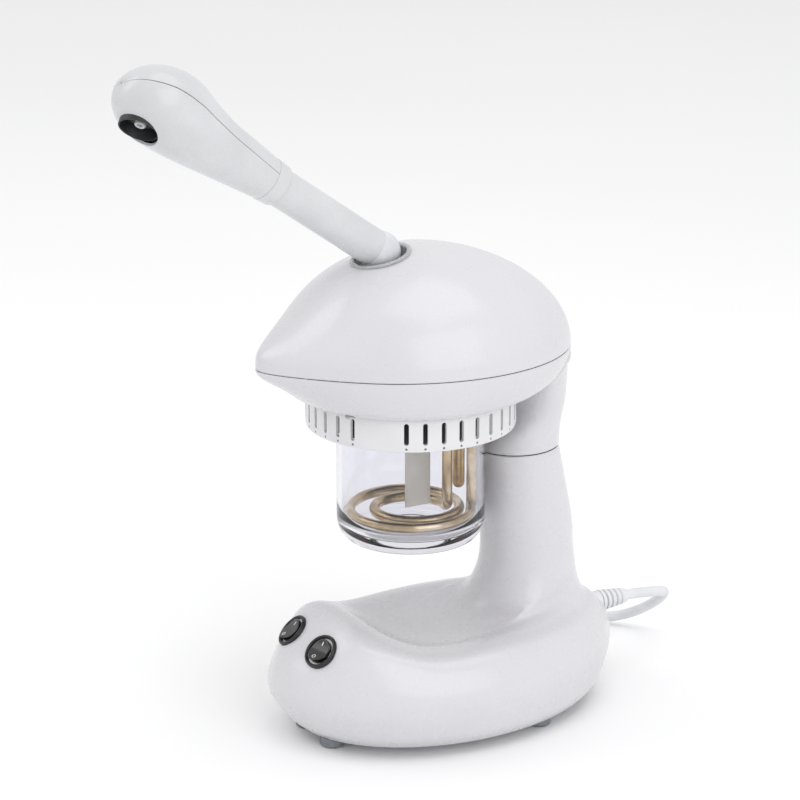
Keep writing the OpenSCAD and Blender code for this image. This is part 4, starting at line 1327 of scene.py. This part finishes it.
# ---------- inner parts ----------
class STEAMER_OT_inner_parts(bpy.types.Operator):
    """Finishes for the pieces that keep the frame's own shape; the boiler lid's black is painted shade"""
    bl_idname = "steamer.inner_parts"
    bl_label = "Inner parts"

    def execute(self, context):
        zinc = ("Zinc-plated steel", "A9ABAF", "BFC1C5", 0.32, 1.0)
        grey = ("Moulded grey ABS", "C6C7CB", "D2D3D6", 0.5, 0.0)
        cream = ("Moulded cream plastic", "DDD6C4", "E8E2D2", 0.42, 0.0)
        # The black part's colour also serves as painted shade on the boiler lid.
        black = ("Moulded black part and painted shade", "141416", "1E1E21", 0.5, 0.0)
        white = ("Moulded white part", "E8E8EB", "F0F0F2", 0.4, 0.0)
        finishes = {
            "base_plate": grey, "screw_posts": grey, "base_plate_screws": zinc, "head_screws": zinc,
            "vent_ring_screws": zinc, "terminal_block": cream, "lamp_holder": cream,
            "lamp_ballast": ("Enamelled steel can", "26334A", "33425C", 0.4, 0.0),
            "wiring_loom": ("Braided glass sleeve", "BDBDBD", "CFCFCD", 0.7, 0.0),
            # The boiler lid is black as painted shade, so that the vent ring's slots look dark inside.
            "head_posts": white, "boiler_lid": black, "steam_duct": white, "thermal_cutout": black,
            "tube_ring": black, "ozone_lamp": ("Frosted lamp glass", "CFC4E2", "DDD5EC", 0.2, 0.0),
            "swivel_elbow": grey, "nozzle_duct": grey,
        }
        for node, look in finishes.items():
            self.paint(node, satin_part(*look))
        for node in ("switch_pins", "heater_nuts"):
            self.paint(node, turned_brass())
        return {"FINISHED"}

    def paint(self, node, material):
        obj = frame["nodes"][node]
        obj.data.materials.clear()
        obj.data.materials.append(material)


class STEAMER_PT_panel(bpy.types.Panel):
    """The steamer's pieces in the sidebar"""
    bl_label = "Facial steamer"
    bl_space_type = "VIEW_3D"
    bl_region_type = "UI"
    bl_category = "Steamer"

    def draw(self, context):
        scene = context.scene
        for name in ("seam_groove", "slot_width", "slot_places", "relief_ribs"):
            self.layout.prop(scene.steamer_sizes, name)
        for name in ("shell", "shell_shade"):
            self.layout.prop(scene.steamer_colours, name)
        for operator in OPERATORS:
            self.layout.operator(operator.bl_idname)


OPERATORS = (
    STEAMER_OT_stage, STEAMER_OT_mains_lead, STEAMER_OT_base, STEAMER_OT_switches, STEAMER_OT_head,
    STEAMER_OT_vent_ring, STEAMER_OT_jar, STEAMER_OT_heater, STEAMER_OT_arm, STEAMER_OT_nozzle,
    STEAMER_OT_inner_parts)
CLASSES = (SteamerSizes, SteamerColours) + OPERATORS + (STEAMER_PT_panel,)


def register():
    for cls in CLASSES:
        bpy.utils.register_class(cls)
    bpy.types.Scene.steamer_sizes = bpy.props.PointerProperty(type=SteamerSizes)
    bpy.types.Scene.steamer_colours = bpy.props.PointerProperty(type=SteamerColours)


def unregister():
    del bpy.types.Scene.steamer_sizes
    del bpy.types.Scene.steamer_colours
    for cls in reversed(CLASSES):
        bpy.utils.unregister_class(cls)


def main():
    register()
    for operator in OPERATORS:
        group, name = operator.bl_idname.split(".")
        getattr(getattr(bpy.ops, group), name)()


if __name__ == "__main__":
    main()
